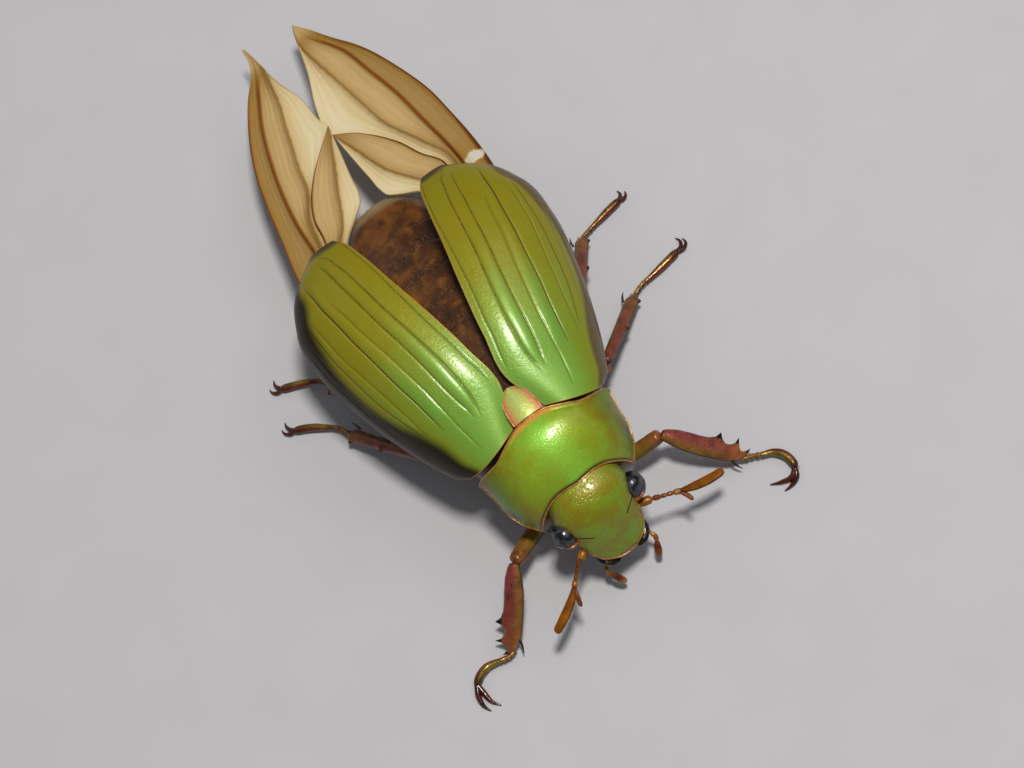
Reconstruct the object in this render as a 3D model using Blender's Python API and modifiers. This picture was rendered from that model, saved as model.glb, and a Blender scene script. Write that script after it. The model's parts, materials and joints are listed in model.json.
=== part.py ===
"""A jewel scarab at life size, wing cases half open, hind wings trailing behind.

The beetle stands on its six feet and heads along -Y, with its left side at +X.
Shapes are worked out in millimetres from the tip of the scutellum, and placed
in metres at the end with the middle of the footprint at the origin.
"""
import math

import bmesh
import bpy
import numpy as np
from mathutils import Matrix, Vector

MM = 0.001
GAP = 0.3
WELD = 0.002
BODY_NAME = "jewel_scarab"

# Rows along the body: y, half width, top, widest height, bottom
HEAD_ROWS = [
    (-7.0, 2.9, 10.0, 7.6, 5.2),
    (-8.2, 3.15, 9.75, 7.2, 4.6),
    (-9.4, 3.2, 9.0, 6.7, 4.2),
    (-10.5, 2.75, 8.0, 6.3, 4.0),
    (-11.3, 2.45, 7.2, 5.9, 3.9),
    (-11.9, 2.15, 6.3, 5.4, 3.9),
    (-12.4, 1.65, 5.5, 4.9, 4.0),
    (-12.7, 0.95, 4.9, 4.6, 4.2),
]
THORAX_ROWS = [
    (-2.1, 4.6, 11.0, 6.6, 3.2),
    (-1.0, 5.4, 11.2, 6.4, 2.5),
    (1.0, 5.9, 11.2, 6.2, 2.1),
    (3.5, 6.2, 11.0, 6.1, 2.0),
    (5.5, 6.2, 10.8, 6.1, 2.0),
    (6.6, 6.1, 10.7, 6.1, 2.1),
]
ABDOMEN_ROWS = [
    (6.95, 6.1, 10.5, 6.1, 2.1),
    (9.0, 6.3, 10.3, 6.1, 1.9),
    (12.0, 6.1, 9.7, 6.1, 2.1),
    (14.5, 5.5, 8.9, 6.0, 2.7),
    (16.5, 4.6, 8.2, 5.9, 3.5),
    (18.0, 3.7, 7.6, 5.8, 4.3),
    (19.4, 2.6, 7.1, 5.8, 5.0),
]
SEGMENT_ENDS = (9.3, 11.5, 13.6, 15.5, 17.2)
SEGMENT_STEP = 0.14

# Shield behind the head: share of its length, half width, side edge height, crown, underside
SHIELD_ROWS = [
    (0.0, 4.05, 6.5, 10.0, 3.6),
    (0.14, 4.6, 6.7, 10.8, 3.3),
    (0.3, 5.1, 7.0, 11.4, 3.1),
    (0.5, 5.45, 7.2, 11.9, 3.0),
    (0.75, 5.55, 7.6, 12.2, 3.0),
    (1.0, 5.8, 8.0, 12.1, 3.2),
]
SHIELD_FRONT = [(0.0, -8.14), (2.1, -7.95), (4.05, -8.4)]
SHIELD_BASE = [(0.0, -2.6), (1.92, -3.05), (3.67, -3.45), (5.8, -3.2)]

EYE_CENTRE = (3.05, -9.8, 7.15)
EYE_RADII = (0.95, 1.15, 1.2)
CANTHUS = ((2.1, -10.7, 6.9), (2.8, -10.85, 6.95), (3.4, -10.75, 7.0), (3.75, -10.45, 7.05))
CANTHUS_HALF = 0.26

SCUTELLUM_HALF = 1.15
SCUTELLUM_FRONT = -2.2
SCUTELLUM_TIP = 0.0
SCUTELLUM_TOP = 12.25
SCUTELLUM_THICK = 0.9

# Half of the scutellum's outline: share of its half width, share of its length
SCUTELLUM_SHAPE = ((0, 0.03), (0.5, 0.02), (1, 0), (0.86, 0.35), (0.5, 0.72), (0.16, 0.97))

# Wing case when shut: share of its length, seam x y z, outer edge x y z
CASE_ROWS = [
    (0.0, 1.6, -2.45, 12.1, 6.1, -2.3, 8.7),
    (0.06, 0.85, -1.1, 12.25, 6.6, -1.6, 8.1),
    (0.12, 0.15, 0.2, 12.4, 6.9, -0.6, 7.7),
    (0.3, -0.05, 4.0, 12.7, 7.35, 3.2, 6.8),
    (0.5, 0.0, 8.0, 12.5, 7.65, 7.3, 6.4),
    (0.68, 0.12, 11.6, 11.8, 7.7, 11.2, 6.3),
    (0.84, 0.12, 14.8, 10.6, 6.8, 14.6, 6.5),
    (0.94, 0.2, 16.7, 9.4, 4.9, 16.9, 6.9),
    (1.0, 0.5, 17.6, 8.6, 2.3, 18.0, 7.5),
]
CASE_THICK = 0.6
CASE_ACROSS = 20
CASE_ALONG = 17
CASE_RIB = 0.11
CASE_HINGE = (1.6, -1.5, 11.0)
CASE_OPEN = {"left": (11.0, 8.0, 0.0), "right": (8.5, 10.0, -7.0)}

# Hind wings: wall, how far the veins stand up, and how each line of a row is raised
WING_THICK = 0.5
WING_RIDGE = 0.28
WING_RAISED = (0.2, 0.0, 1.0, 0.0, 0.6, 0.0, 0.8, 0.0, 0.2)
WING_YS = (0.8, 4, 8, 12, 15, 17.5, 19, 20, 21, 22.5, 24, 25.5, 27, 28.5, 30, 31.5, 33, 34.5, 35.7)

# Width of the block that trims the feet level
FLOOR_CUT = 80.0


def clear_scene():
    for thing in list(bpy.data.objects):
        bpy.data.objects.remove(thing, do_unlink=True)


def new_collection(name):
    group = bpy.data.collections.new(name)
    bpy.context.scene.collection.children.link(group)
    return group


def smooth(stations, values, at):
    """Value at one station of a smooth curve through the given ones."""
    stations = np.asarray(stations, dtype=float)
    values = np.asarray(values, dtype=float)
    slopes = np.gradient(values, stations, axis=0)
    last = len(stations) - 2
    i = int(np.clip(np.searchsorted(stations, at) - 1, 0, last))
    span = stations[i + 1] - stations[i]
    t = (at - stations[i]) / span
    start = (1 + 2 * t) * (1 - t) ** 2 * values[i] + t * (1 - t) ** 2 * span * slopes[i]
    end = t * t * (3 - 2 * t) * values[i + 1] + t * t * (t - 1) * span * slopes[i + 1]
    return start + end


def smooth_rows(rows, at):
    rows = sorted(rows)
    return smooth([row[0] for row in rows], [row[1:] for row in rows], at)


def path_points(points, count):
    """Evenly numbered points on a smooth curve through the given points."""
    steps = [0.0]
    for a, b in zip(points, points[1:]):
        steps.append(steps[-1] + (Vector(b) - Vector(a)).length)
    return [Vector(smooth(steps, points, s)) for s in np.linspace(0, steps[-1], count)]


def add_mesh(name, corners, faces, group):
    shape = bmesh.new()
    points = [shape.verts.new(c) for c in corners]
    for face in faces:
        shape.faces.new([points[i] for i in face])
    bmesh.ops.triangulate(shape, faces=shape.faces[:])
    bmesh.ops.recalc_face_normals(shape, faces=shape.faces[:])
    mesh = bpy.data.meshes.new(name)
    shape.to_mesh(mesh)
    shape.free()
    thing = bpy.data.objects.new(name, mesh)
    group.objects.link(thing)
    return thing


def loft(name, rings, group):
    """Closed skin over rings of as many points each, with flat ends."""
    sides = len(rings[0])
    corners = [point for ring in rings for point in ring]
    faces = []
    for r in range(len(rings) - 1):
        for k in range(sides):
            a = r * sides + k
            b = r * sides + (k + 1) % sides
            faces.append((a, b, b + sides, a + sides))
    faces.append(tuple(range(sides)))
    faces.append(tuple(range(len(corners) - sides, len(corners))))
    return add_mesh(name, corners, faces, group)


def signed_power(value, power):
    return math.copysign(abs(value) ** power, value)


def section(y, half, top, middle, bottom, sides, square=2.2):
    """Rounded cross-section that lies across the body."""
    ring = []
    for k in range(sides):
        angle = 2 * math.pi * k / sides
        across = signed_power(math.cos(angle), 2 / square)
        up = signed_power(math.sin(angle), 2 / square)
        reach = top - middle if up > 0 else middle - bottom
        ring.append(Vector((half * across, y, middle + reach * up)))
    return ring


def body_loft(name, rows, ys, sides, group, square=2.2):
    rings = [section(y, *smooth_rows(rows, y), sides, square) for y in ys]
    return loft(name, rings, group)


def limb(name, stations, sides, group, up=(0, 0, 1)):
    """Tapered rod through stations of point, half width and half depth."""
    points = [Vector(s[0]) for s in stations]
    rings = []
    for i, (_, wide, deep) in enumerate(stations):
        ahead = points[min(i + 1, len(points) - 1)] - points[max(i - 1, 0)]
        side = ahead.cross(Vector(up)).normalized()
        lift = side.cross(ahead).normalized()
        ring = []
        for k in range(sides):
            angle = 2 * math.pi * k / sides
            ring.append(points[i] + side * wide * math.cos(angle) + lift * deep * math.sin(angle))
        rings.append(ring)
    return loft(name, rings, group)


def spike(name, root, tip, radius, group, sides=5):
    root = Vector(root)
    tip = Vector(tip)
    up = (0, 0, 1) if abs((tip - root).normalized().z) < 0.9 else (1, 0, 0)
    stations = [(root, radius, radius), (root.lerp(tip, 0.6), radius * 0.62, radius * 0.62),
                (tip, 0.07, 0.07)]
    return limb(name, stations, sides, group, up)


def ball(name, centre, radii, group, segments=12, rings=8):
    shape = bmesh.new()
    place = Matrix.Translation(centre) @ Matrix.Diagonal((*radii, 1.0))
    bmesh.ops.create_uvsphere(shape, u_segments=segments, v_segments=rings, radius=1.0, matrix=place)
    bmesh.ops.triangulate(shape, faces=shape.faces[:])
    mesh = bpy.data.meshes.new(name)
    shape.to_mesh(mesh)
    shape.free()
    thing = bpy.data.objects.new(name, mesh)
    group.objects.link(thing)
    return thing


def settle(thing):
    """Apply the modifiers and tidy the mesh."""
    bpy.context.view_layer.update()
    seen = thing.evaluated_get(bpy.context.evaluated_depsgraph_get())
    mesh = bpy.data.meshes.new_from_object(seen)
    thing.modifiers.clear()
    old = thing.data
    thing.data = mesh
    bpy.data.meshes.remove(old)


def keep_largest(thing):
    """Keep the closed surface that holds the most, and drop loose scraps."""
    shape = bmesh.new()
    shape.from_mesh(thing.data)
    bmesh.ops.remove_doubles(shape, verts=shape.verts[:], dist=WELD)
    bmesh.ops.dissolve_degenerate(shape, edges=shape.edges[:], dist=WELD)
    bmesh.ops.triangulate(shape, faces=shape.faces[:])
    left = set(shape.faces)
    best = []
    best_volume = 0.0
    while left:
        stack = [left.pop()]
        island = list(stack)
        while stack:
            for edge in stack.pop().edges:
                for face in edge.link_faces:
                    if face in left:
                        left.remove(face)
                        stack.append(face)
                        island.append(face)
        volume = 0.0
        for face in island:
            a, b, c = (v.co for v in face.verts)
            volume += a.dot(b.cross(c)) / 6
        if volume > best_volume:
            best = island
            best_volume = volume
    kept = set(best)
    bmesh.ops.delete(shape, geom=[f for f in shape.faces if f not in kept], context="FACES")
    bmesh.ops.holes_fill(shape, edges=[e for e in shape.edges if e.is_boundary])
    bmesh.ops.triangulate(shape, faces=[f for f in shape.faces if len(f.verts) > 3])
    shape.to_mesh(thing.data)
    shape.free()


def boolean(thing, others, operation):
    tools = bpy.data.collections.new("tools")
    bpy.context.scene.collection.children.link(tools)
    for other in others:
        for group in list(other.users_collection):
            group.objects.unlink(other)
        tools.objects.link(other)
        other.hide_render = True
        other.display_type = "WIRE"
    step = thing.modifiers.new(operation.lower(), "BOOLEAN")
    step.operation = operation
    step.operand_type = "COLLECTION"
    step.collection = tools
    settle(thing)
    for other in others:
        bpy.data.objects.remove(other, do_unlink=True)
    bpy.data.collections.remove(tools)
    keep_largest(thing)


def fuse(name, pieces):
    body = pieces[0]
    if len(pieces) > 1:
        boolean(body, pieces[1:], "UNION")
    body.name = name
    body.data.name = name
    return body


def grown(thing, by):
    """Copy of a closed piece with its skin moved outwards."""
    copy = bpy.data.objects.new(thing.name + "_grown", thing.data.copy())
    bpy.context.scene.collection.objects.link(copy)
    shape = bmesh.new()
    shape.from_mesh(copy.data)
    shape.normal_update()
    moves = [v.normal * by * min(v.calc_shell_factor(), 1.4) for v in shape.verts]
    for vert, move in zip(shape.verts, moves):
        vert.co += move
    shape.to_mesh(copy.data)
    shape.free()
    return copy


def carve(thing, neighbours, gap=GAP):
    """Cut a piece back so that it keeps the gap to its neighbours."""
    boolean(thing, [grown(n, gap) for n in neighbours], "DIFFERENCE")
    return thing


def cut_at_floor(thing):
    cutter = bpy.data.objects.new("floor_cut", bpy.data.meshes.new("floor_cut"))
    bpy.context.scene.collection.objects.link(cutter)
    shape = bmesh.new()
    bmesh.ops.create_cube(shape, size=FLOOR_CUT)
    bmesh.ops.translate(shape, verts=shape.verts[:], vec=(0, 0, -FLOOR_CUT / 2))
    shape.to_mesh(cutter.data)
    shape.free()
    boolean(thing, [cutter], "DIFFERENCE")
    return thing


def make_head(group):
    ys = [-7.0, -7.8, -8.6, -9.4, -10.1, -10.8, -11.4, -11.9, -12.3, -12.55, -12.7]
    pieces = [body_loft("head", HEAD_ROWS, ys, 18, group, 2.3)]
    for sign in (1, -1):
        bar = [((sign * x, y, z), CANTHUS_HALF, CANTHUS_HALF) for x, y, z in CANTHUS]
        pieces.append(limb("canthus", bar, 6, group))
    return fuse("head", pieces)


def make_eyes(group):
    eyes = []
    for side, sign in (("left", 1), ("right", -1)):
        centre = (sign * EYE_CENTRE[0], EYE_CENTRE[1], EYE_CENTRE[2])
        eyes.append(ball("eye_" + side, centre, EYE_RADII, group))
    return eyes


def make_shield(group):
    """Shield over the front legs, its base wavy and its front hollowed for the head."""
    rings = []
    for share in (0.0, 0.07, 0.16, 0.3, 0.45, 0.6, 0.75, 0.9, 1.0):
        half, edge, crown, under = smooth_rows(SHIELD_ROWS, share)
        ring = section(0, half, crown, edge, under, 26, 2.1)
        for point in ring:
            front = smooth_rows(SHIELD_FRONT, abs(point.x))[0]
            base = smooth_rows(SHIELD_BASE, abs(point.x))[0]
            point.y = front + (base - front) * share
        rings.append(ring)
    return loft("pronotum", rings, group)


def make_scutellum(group):
    length = SCUTELLUM_TIP - SCUTELLUM_FRONT
    mirrored = [(-x, y) for x, y in reversed(SCUTELLUM_SHAPE[1:])]
    outline = []
    for x, y in [*SCUTELLUM_SHAPE, *mirrored]:
        outline.append(Vector((SCUTELLUM_HALF * x, SCUTELLUM_FRONT + length * y, SCUTELLUM_TOP)))
    middle = Vector((0, SCUTELLUM_FRONT + 0.8, SCUTELLUM_TOP))
    rings = []
    for drop, inset in ((SCUTELLUM_THICK, 0.0), (0.15, 0.0), (0.0, 0.18)):
        rings.append([p.lerp(middle, inset) - Vector((0, 0, drop)) for p in outline])
    return loft("scutellum", rings, group)


def case_point(u, v):
    """Outer face of the shut left wing case, u from seam to edge, v from base to tip."""
    seam_x, seam_y, seam_z, edge_x, edge_y, edge_z = smooth_rows(CASE_ROWS, v)
    angle = u * math.pi / 2
    x = seam_x + (edge_x - seam_x) * math.sin(angle)
    z = edge_z + (seam_z - edge_z) * math.cos(angle)
    y = seam_y + (edge_y - seam_y) * u
    y -= 0.5 * math.sin(math.pi * u) * max(0.0, 1 - v / 0.15)
    return Vector((x, y, z))


def case_rib(i, v):
    """Height of the long ribs: every other column stands up, flat at the ends and edges."""
    if i in (0, CASE_ACROSS):
        return 0.0
    fade = min(1.0, v / 0.15, (1 - v) / 0.12)
    return CASE_RIB * fade * (0.5 if i % 2 else -0.5)


def make_case(side, group):
    yaw, pitch, roll = (math.radians(a) for a in CASE_OPEN[side])
    sign = 1 if side == "left" else -1
    hinge = Vector(CASE_HINGE)
    turn = Matrix.Rotation(-yaw, 4, "Z") @ Matrix.Rotation(pitch, 4, "X") @ Matrix.Rotation(roll, 4, "Y")
    corners = []
    for j in range(CASE_ALONG + 1):
        v = j / CASE_ALONG
        for i in range(CASE_ACROSS + 1):
            u = i / CASE_ACROSS
            point = case_point(u, v)
            across = case_point(min(u + 0.02, 1), v) - case_point(max(u - 0.02, 0), v)
            along = case_point(u, min(v + 0.02, 1)) - case_point(u, max(v - 0.02, 0))
            point += across.cross(along).normalized() * case_rib(i, v)
            point = hinge + turn @ (point - hinge)
            point.x *= sign
            corners.append(point)
    faces = []
    wide = CASE_ACROSS + 1
    for j in range(CASE_ALONG):
        for i in range(CASE_ACROSS):
            a = j * wide + i
            faces.append((a, a + 1, a + 1 + wide, a + wide))
    case = add_mesh("elytron_" + side, corners, faces, group)
    shell(case, CASE_THICK)
    return case


def shell(thing, thickness):
    """Give an open sheet a wall below its upper face."""
    total = Vector((0, 0, 0))
    for face in thing.data.polygons:
        total += Vector(face.normal) * face.area
    if total.z < 0:
        thing.data.flip_normals()
    step = thing.modifiers.new("wall", "SOLIDIFY")
    step.thickness = thickness
    step.offset = -1.0
    step.use_even_offset = False
    settle(thing)


# Hind wing lines, each as rows of y, x, z
WING = {
    "left": {
        "outer": [
            (0.8, 5.7, 9.3), (4, 6.4, 8.9), (8, 7.4, 8.4), (12, 8.5, 8), (16, 9.1, 7.6),
            (21.2, 9.15, 7), (24.7, 8.95, 6.6), (27.5, 8.15, 6.2), (30.9, 6.8, 5.7), (34.7, 4.6, 5.2),
            (36.8, 3.7, 5),
        ],
        "vein": [
            (0.8, 5.4, 9.6), (8, 6.6, 9.1), (16, 7.5, 8.2), (19.6, 7.15, 7.7), (24.2, 6.9, 7),
            (27.1, 6.6, 6.6), (29.8, 6.1, 6.2), (32.5, 5.4, 5.8), (34.65, 4.5, 5.4), (36.8, 3.65, 5),
        ],
        "fold": [
            (0.8, 5.1, 9.7), (8, 6, 9.2), (16, 6.6, 8), (19.1, 6.3, 7.4), (21.7, 5.6, 6.9),
            (24.8, 4.8, 6.5), (27.9, 4.3, 6.1), (30.3, 3.9, 5.8), (32.95, 3.4, 5.5), (34.8, 3.3, 5.2),
            (36.8, 3.6, 5),
        ],
        "inner": [
            (0.8, 4.9, 9.8), (8, 5.5, 9.5), (16, 5.8, 8.3), (18.9, 5.6, 7.6), (23, 3.9, 6.7),
            (24.6, 3.3, 6.5), (25.7, 2.4, 6.3), (27, 1.6, 6.1), (30.9, 2.2, 5.7), (34.5, 2.9, 5.2),
            (36.8, 3.55, 5),
        ],
        "rear": [
            (0.8, 4.6, 9.9), (8, 4.9, 9.7), (12, 4.9, 9.3), (16, 4.5, 8.4), (18, 4.1, 7.7),
            (19.2, 3.3, 7.1), (20.2, 1.95, 6.5), (23.5, 1.75, 6.3), (26.6, 1.5, 6.1), (28.5, 1.3, 5.9),
            (30.9, 1.65, 5.6), (34.5, 2.7, 5.1), (36.8, 3.5, 5),
        ],
    },
    "right": {
        "outer": [
            (0.8, 5.7, 9.3), (4, 6.3, 8.9), (8, 7.1, 8.4), (12, 7.8, 8), (16, 8, 7.7), (20.2, 7.4, 7.2),
            (24.8, 6.8, 6.6), (28.4, 5.45, 6.1), (31.4, 4, 5.7), (34.2, 1.95, 5.3), (36, 0.95, 5.1),
            (37.8, 0.8, 5),
        ],
        "vein": [
            (0.8, 5.4, 9.6), (8, 6.5, 9.1), (16, 6.3, 8.3), (21.2, 5.05, 7.6), (24.7, 4.6, 7),
            (27.7, 3.95, 6.6), (30.9, 2.8, 6.1), (34.2, 1.35, 5.6), (36, 0.8, 5.2), (37.8, 0.75, 5),
        ],
        "fold": [
            (0.8, 5.1, 9.7), (8, 6, 9.2), (16, 5.8, 8.1), (21.1, 4.4, 7), (24.7, 2.9, 6.5),
            (28.1, 1.9, 6.1), (31.3, 1.1, 5.7), (33.7, 0.65, 5.4), (36, 0.6, 5.1), (37.8, 0.7, 5),
        ],
        "inner": [
            (0.8, 4.9, 9.8), (8, 5.5, 9.5), (16, 5.2, 8.3), (20.7, 4.1, 7.2), (23.2, 2.3, 6.7),
            (25, 1.4, 6.4), (26.4, 0.5, 6.2), (27.3, 0.1, 6.1), (30.5, 0.4, 5.7), (34, 0.3, 5.3),
            (37.8, 0.65, 5),
        ],
        "rear": [
            (0.8, 4.6, 9.9), (8, 4.9, 9.7), (12, 4.8, 9.3), (16, 4.3, 8.4), (18.4, 3.6, 7.7),
            (19.6, 2.2, 7), (20.6, 0.3, 6.5), (23.8, -0.15, 6.3), (26.6, -0.55, 6.1), (28.4, -0.6, 5.9),
            (30.4, 0, 5.7), (32.3, 0.15, 5.5), (35.7, 0.3, 5.1), (37.8, 0.6, 5),
        ],
    },
}


def make_wing(side, group):
    """Hind wing as a pleated sheet that widens behind the wing case, veins raised."""
    lines = WING[side]
    sign = 1 if side == "left" else -1
    end = lines["outer"][-1][0]
    ys = [*WING_YS, end]
    corners = []
    for y in ys:
        marks = [smooth_rows(lines[name], y) for name in ("outer", "vein", "fold", "inner", "rear")]
        row = [marks[0]]
        for before, mark in zip(marks, marks[1:]):
            row += [(before + mark) / 2, mark]
        shrink = min(1.0, (end - y) / 4)
        for (x, z), lift in zip(row, WING_RAISED):
            corners.append(Vector((sign * x, y, z + lift * WING_RIDGE * shrink)))
    wide = len(WING_RAISED)
    faces = []
    for j in range(len(ys) - 1):
        for i in range(wide - 1):
            a = j * wide + i
            faces.append((a, a + 1, a + 1 + wide, a + wide))
    wing = add_mesh("hindwing_" + side, corners, faces, group)
    shell(wing, WING_THICK)
    return wing


def make_abdomen(group):
    rings = []
    ys = [ABDOMEN_ROWS[0][0]]
    for end in SEGMENT_ENDS:
        ys += [end - 0.12, end + 0.12]
    ys.append(ABDOMEN_ROWS[-1][0])
    for i, y in enumerate(ys):
        half, top, middle, bottom = smooth_rows(ABDOMEN_ROWS, y)
        swell = SEGMENT_STEP if i % 2 else 0.0
        rings.append(section(y, half + swell, top + swell, middle, bottom - swell, 22))
    return loft("abdomen", rings, group)


# End plate: y, height, half width and half depth
PYGIDIUM = ((18.6, 5.4, 3.1, 1.9), (19.6, 5.1, 2.7, 1.8), (20.3, 4.8, 1.9, 1.3), (20.6, 4.6, 0.9, 0.6))


def make_pygidium(group):
    stations = [((0, y, z), wide, deep) for y, z, wide, deep in PYGIDIUM]
    return limb("pygidium", stations, 16, group)


# Teeth and spines of the shins: share of the length and reach from the middle line
FRONT_TEETH = ((0.71, 1.5), (0.94, 1.35), (1.08, 1.0))
SPINES = ((0.62, 0.95),)

# Legs: hip ball, knee, end of shin, then the foot and its two claws
LEGS = {
    "front_left": {
        "coxa": (2.2, -6.1, 2.9), "coxa_radii": (1.4, 1.1, 1.1),
        "thigh": (4.6, -6.7, 3.2), "knee": (6.9, -7.1, 4.2),
        "femur": (0.75, 0.9), "tibia": (0.42, 0.8), "ankle": (10.6, -11.2, 1.2), "teeth": FRONT_TEETH,
        "foot": [(10.8, -11.3, 0.95), (11.46, -11.6, 0.8), (12.0, -11.88, 0.7), (12.75, -12.2, 0.6),
                 (13.3, -12.88, 0.55), (13.45, -13.6, 0.5), (13.38, -14.15, 0.45)],
        "claws": [[(13.35, -14.1), (13.0, -14.7), (12.3, -15.0), (11.67, -15.0)],
                  [(13.35, -14.1), (12.7, -14.42), (12.0, -14.36), (11.1, -13.9)]],
    },
    "front_right": {
        "coxa": (-2.2, -6.1, 2.9), "coxa_radii": (1.4, 1.1, 1.1),
        "thigh": (-4.6, -6.9, 3.2), "knee": (-7.2, -8.2, 4.2),
        "femur": (0.75, 0.9), "tibia": (0.42, 0.8), "ankle": (-11.0, -12.4, 1.2), "teeth": FRONT_TEETH,
        "foot": [(-11.1, -12.6, 0.95), (-11.5, -12.65, 0.85), (-12.13, -12.5, 0.7), (-12.55, -12.37, 0.65),
                 (-13.38, -12.18, 0.6), (-14.21, -12.37, 0.55), (-14.85, -12.8, 0.45)],
        "claws": [[(-14.8, -12.75), (-15.25, -13.6), (-15.31, -14.34), (-15.1, -14.93)],
                  [(-14.8, -12.75), (-14.75, -13.6), (-14.65, -14.4), (-14.2, -15.1)]],
    },
    "middle_left": {
        "coxa": (2.2, 1.0, 2.0), "coxa_radii": (1.6, 1.2, 0.95),
        "thigh": (4.6, 0.6, 2.6), "knee": (6.9, -0.25, 4.5),
        "femur": (0.75, 0.95), "tibia": (0.42, 0.62), "ankle": (11.6, 3.7, 1.3), "teeth": SPINES,
        "foot": [(11.85, 3.95, 1.0), (12.71, 4.3, 0.8), (13.7, 4.42, 0.7), (14.76, 4.58, 0.6),
                 (15.82, 4.75, 0.55), (16.4, 4.85, 0.45)],
        "claws": [[(16.35, 4.85), (16.8, 5.1), (16.95, 5.5), (16.8, 5.9)],
                  [(16.35, 4.8), (16.85, 4.65), (17.2, 4.8), (17.4, 5.15)]],
    },
    "middle_right": {
        "coxa": (-2.2, 1.0, 2.0), "coxa_radii": (1.6, 1.2, 0.95),
        "thigh": (-4.9, 1.6, 2.7), "knee": (-7.9, 2.5, 4.3),
        "femur": (0.75, 0.95), "tibia": (0.42, 0.62), "ankle": (-11.5, 8.55, 1.3), "teeth": SPINES,
        "foot": [(-11.6, 8.95, 1.0), (-11.9, 9.65, 0.8), (-12.74, 10.5, 0.7), (-13.68, 11.24, 0.6),
                 (-14.52, 11.72, 0.5), (-14.8, 11.85, 0.45)],
        "claws": [[(-14.75, 11.8), (-15.25, 11.85), (-15.6, 12.15), (-15.65, 12.6)],
                  [(-14.7, 11.85), (-14.9, 12.3), (-14.85, 12.7), (-14.6, 13.0)]],
    },
    "hind_left": {
        "coxa": (2.5, 4.9, 2.0), "coxa_radii": (2.2, 1.2, 0.95),
        "thigh": (5.4, 4.8, 2.8), "knee": (8.0, 4.5, 4.8),
        "femur": (0.85, 1.1), "tibia": (0.46, 0.7), "ankle": (11.2, 9.9, 1.3), "teeth": SPINES,
        "foot": [(11.4, 10.15, 1.0), (12.26, 10.35, 0.8), (13.27, 10.58, 0.65), (14.44, 10.8, 0.55),
                 (15.3, 10.93, 0.45)],
        "claws": [[(15.25, 10.9), (15.75, 10.8), (16.15, 11.0), (16.3, 11.4)],
                  [(15.25, 10.95), (15.5, 11.3), (15.5, 11.7), (15.3, 12.05)]],
    },
    "hind_right": {
        "coxa": (-2.5, 4.9, 2.0), "coxa_radii": (2.2, 1.2, 0.95),
        "thigh": (-5.4, 5.7, 2.8), "knee": (-8.1, 6.7, 4.7),
        "femur": (0.85, 1.1), "tibia": (0.46, 0.7), "ankle": (-10.5, 12.6, 1.3), "teeth": SPINES,
        "foot": [(-10.55, 13.0, 1.0), (-11.0, 13.7, 0.75), (-12.0, 14.4, 0.6), (-13.1, 14.93, 0.5),
                 (-13.75, 15.2, 0.45)],
        "claws": [[(-13.7, 15.15), (-14.2, 15.15), (-14.6, 15.45), (-14.65, 15.9)],
                  [(-13.65, 15.2), (-13.8, 15.65), (-13.7, 16.05), (-13.4, 16.3)]],
    },
}
CLAW_HEIGHTS = (0.45, 0.3, 0.17, 0.06)


def make_foot(name, leg, group):
    """Four short joints, a long end joint and a pair of claws."""
    points = path_points(leg["foot"], 41)
    marks = []
    short = 0.34
    for k in range(4):
        start = short * k / 4
        marks += [(start + 0.01, 0.26), (start + short * 0.2, 0.4)]
    marks += [(short + 0.02, 0.26), (0.55, 0.34), (0.8, 0.36), (1.0, 0.4)]
    stations = []
    for share, radius in marks:
        stations.append((points[round(share * 40)], radius, radius * 0.9))
    pieces = [limb(name, stations, 7, group)]
    for claw in leg["claws"]:
        bend = path_points([(x, y, z) for (x, y), z in zip(claw, CLAW_HEIGHTS)], 6)
        sizes = (0.27, 0.26, 0.24, 0.2, 0.15, 0.08)
        pieces.append(limb("claw", [(p, r, r) for p, r in zip(bend, sizes)], 5, group))
    return cut_at_floor(fuse(name, pieces))


def make_tibia(name, leg, group):
    knee = Vector(leg["knee"])
    ankle = Vector(leg["ankle"])
    thin, wide = leg["tibia"]
    along = (ankle - knee).normalized()
    outward = Vector((0, 0, 1)).cross(along).normalized()
    if outward.x * knee.x < 0:
        outward = -outward
    marks = ((0.0, 0.55), (0.12, 0.62), (0.35, 0.72), (0.6, 0.86), (0.85, 1.0), (1.0, 0.8))
    stations = [(knee.lerp(ankle, s), wide * k, thin * (0.8 + 0.4 * k)) for s, k in marks]
    pieces = [limb(name, stations, 8, group)]
    for share, reach in leg["teeth"]:
        root = knee.lerp(ankle, share - 0.14) + outward * wide * 0.45
        tip = knee.lerp(ankle, share) + outward * reach
        pieces.append(spike("tooth", root, tip, 0.27, group))
    spur_root = knee.lerp(ankle, 0.93) - outward * wide * 0.5
    spur_tip = ankle + along * 0.75 - outward * 0.75
    pieces.append(spike("spur", spur_root, spur_tip, 0.25, group))
    return pieces


def make_femur(name, leg, group):
    line = path_points([leg["coxa"], leg["thigh"], leg["knee"]], 21)
    thin, wide = leg["femur"]
    marks = ((0, 0.5), (3, 0.72), (6, 0.92), (10, 1.0), (14, 0.95), (18, 0.7), (20, 0.48))
    stations = [(line[i], wide * k, thin * k) for i, k in marks]
    return limb(name, stations, 9, group)


def make_leg(place, leg, group, carrier):
    coxa = ball("coxa_" + place, leg["coxa"], leg["coxa_radii"], group, 10, 6)
    femur = make_femur("femur_" + place, leg, group)
    shin = make_tibia("tibia_" + place, leg, group)
    foot = make_foot("tarsus_" + place, leg, group)
    carve(foot, shin)
    carve(coxa, [carrier])
    carve(femur, [coxa, carrier])
    tibia = carve(fuse("tibia_" + place, shin), [femur])
    return [coxa, femur, tibia, foot]


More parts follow.
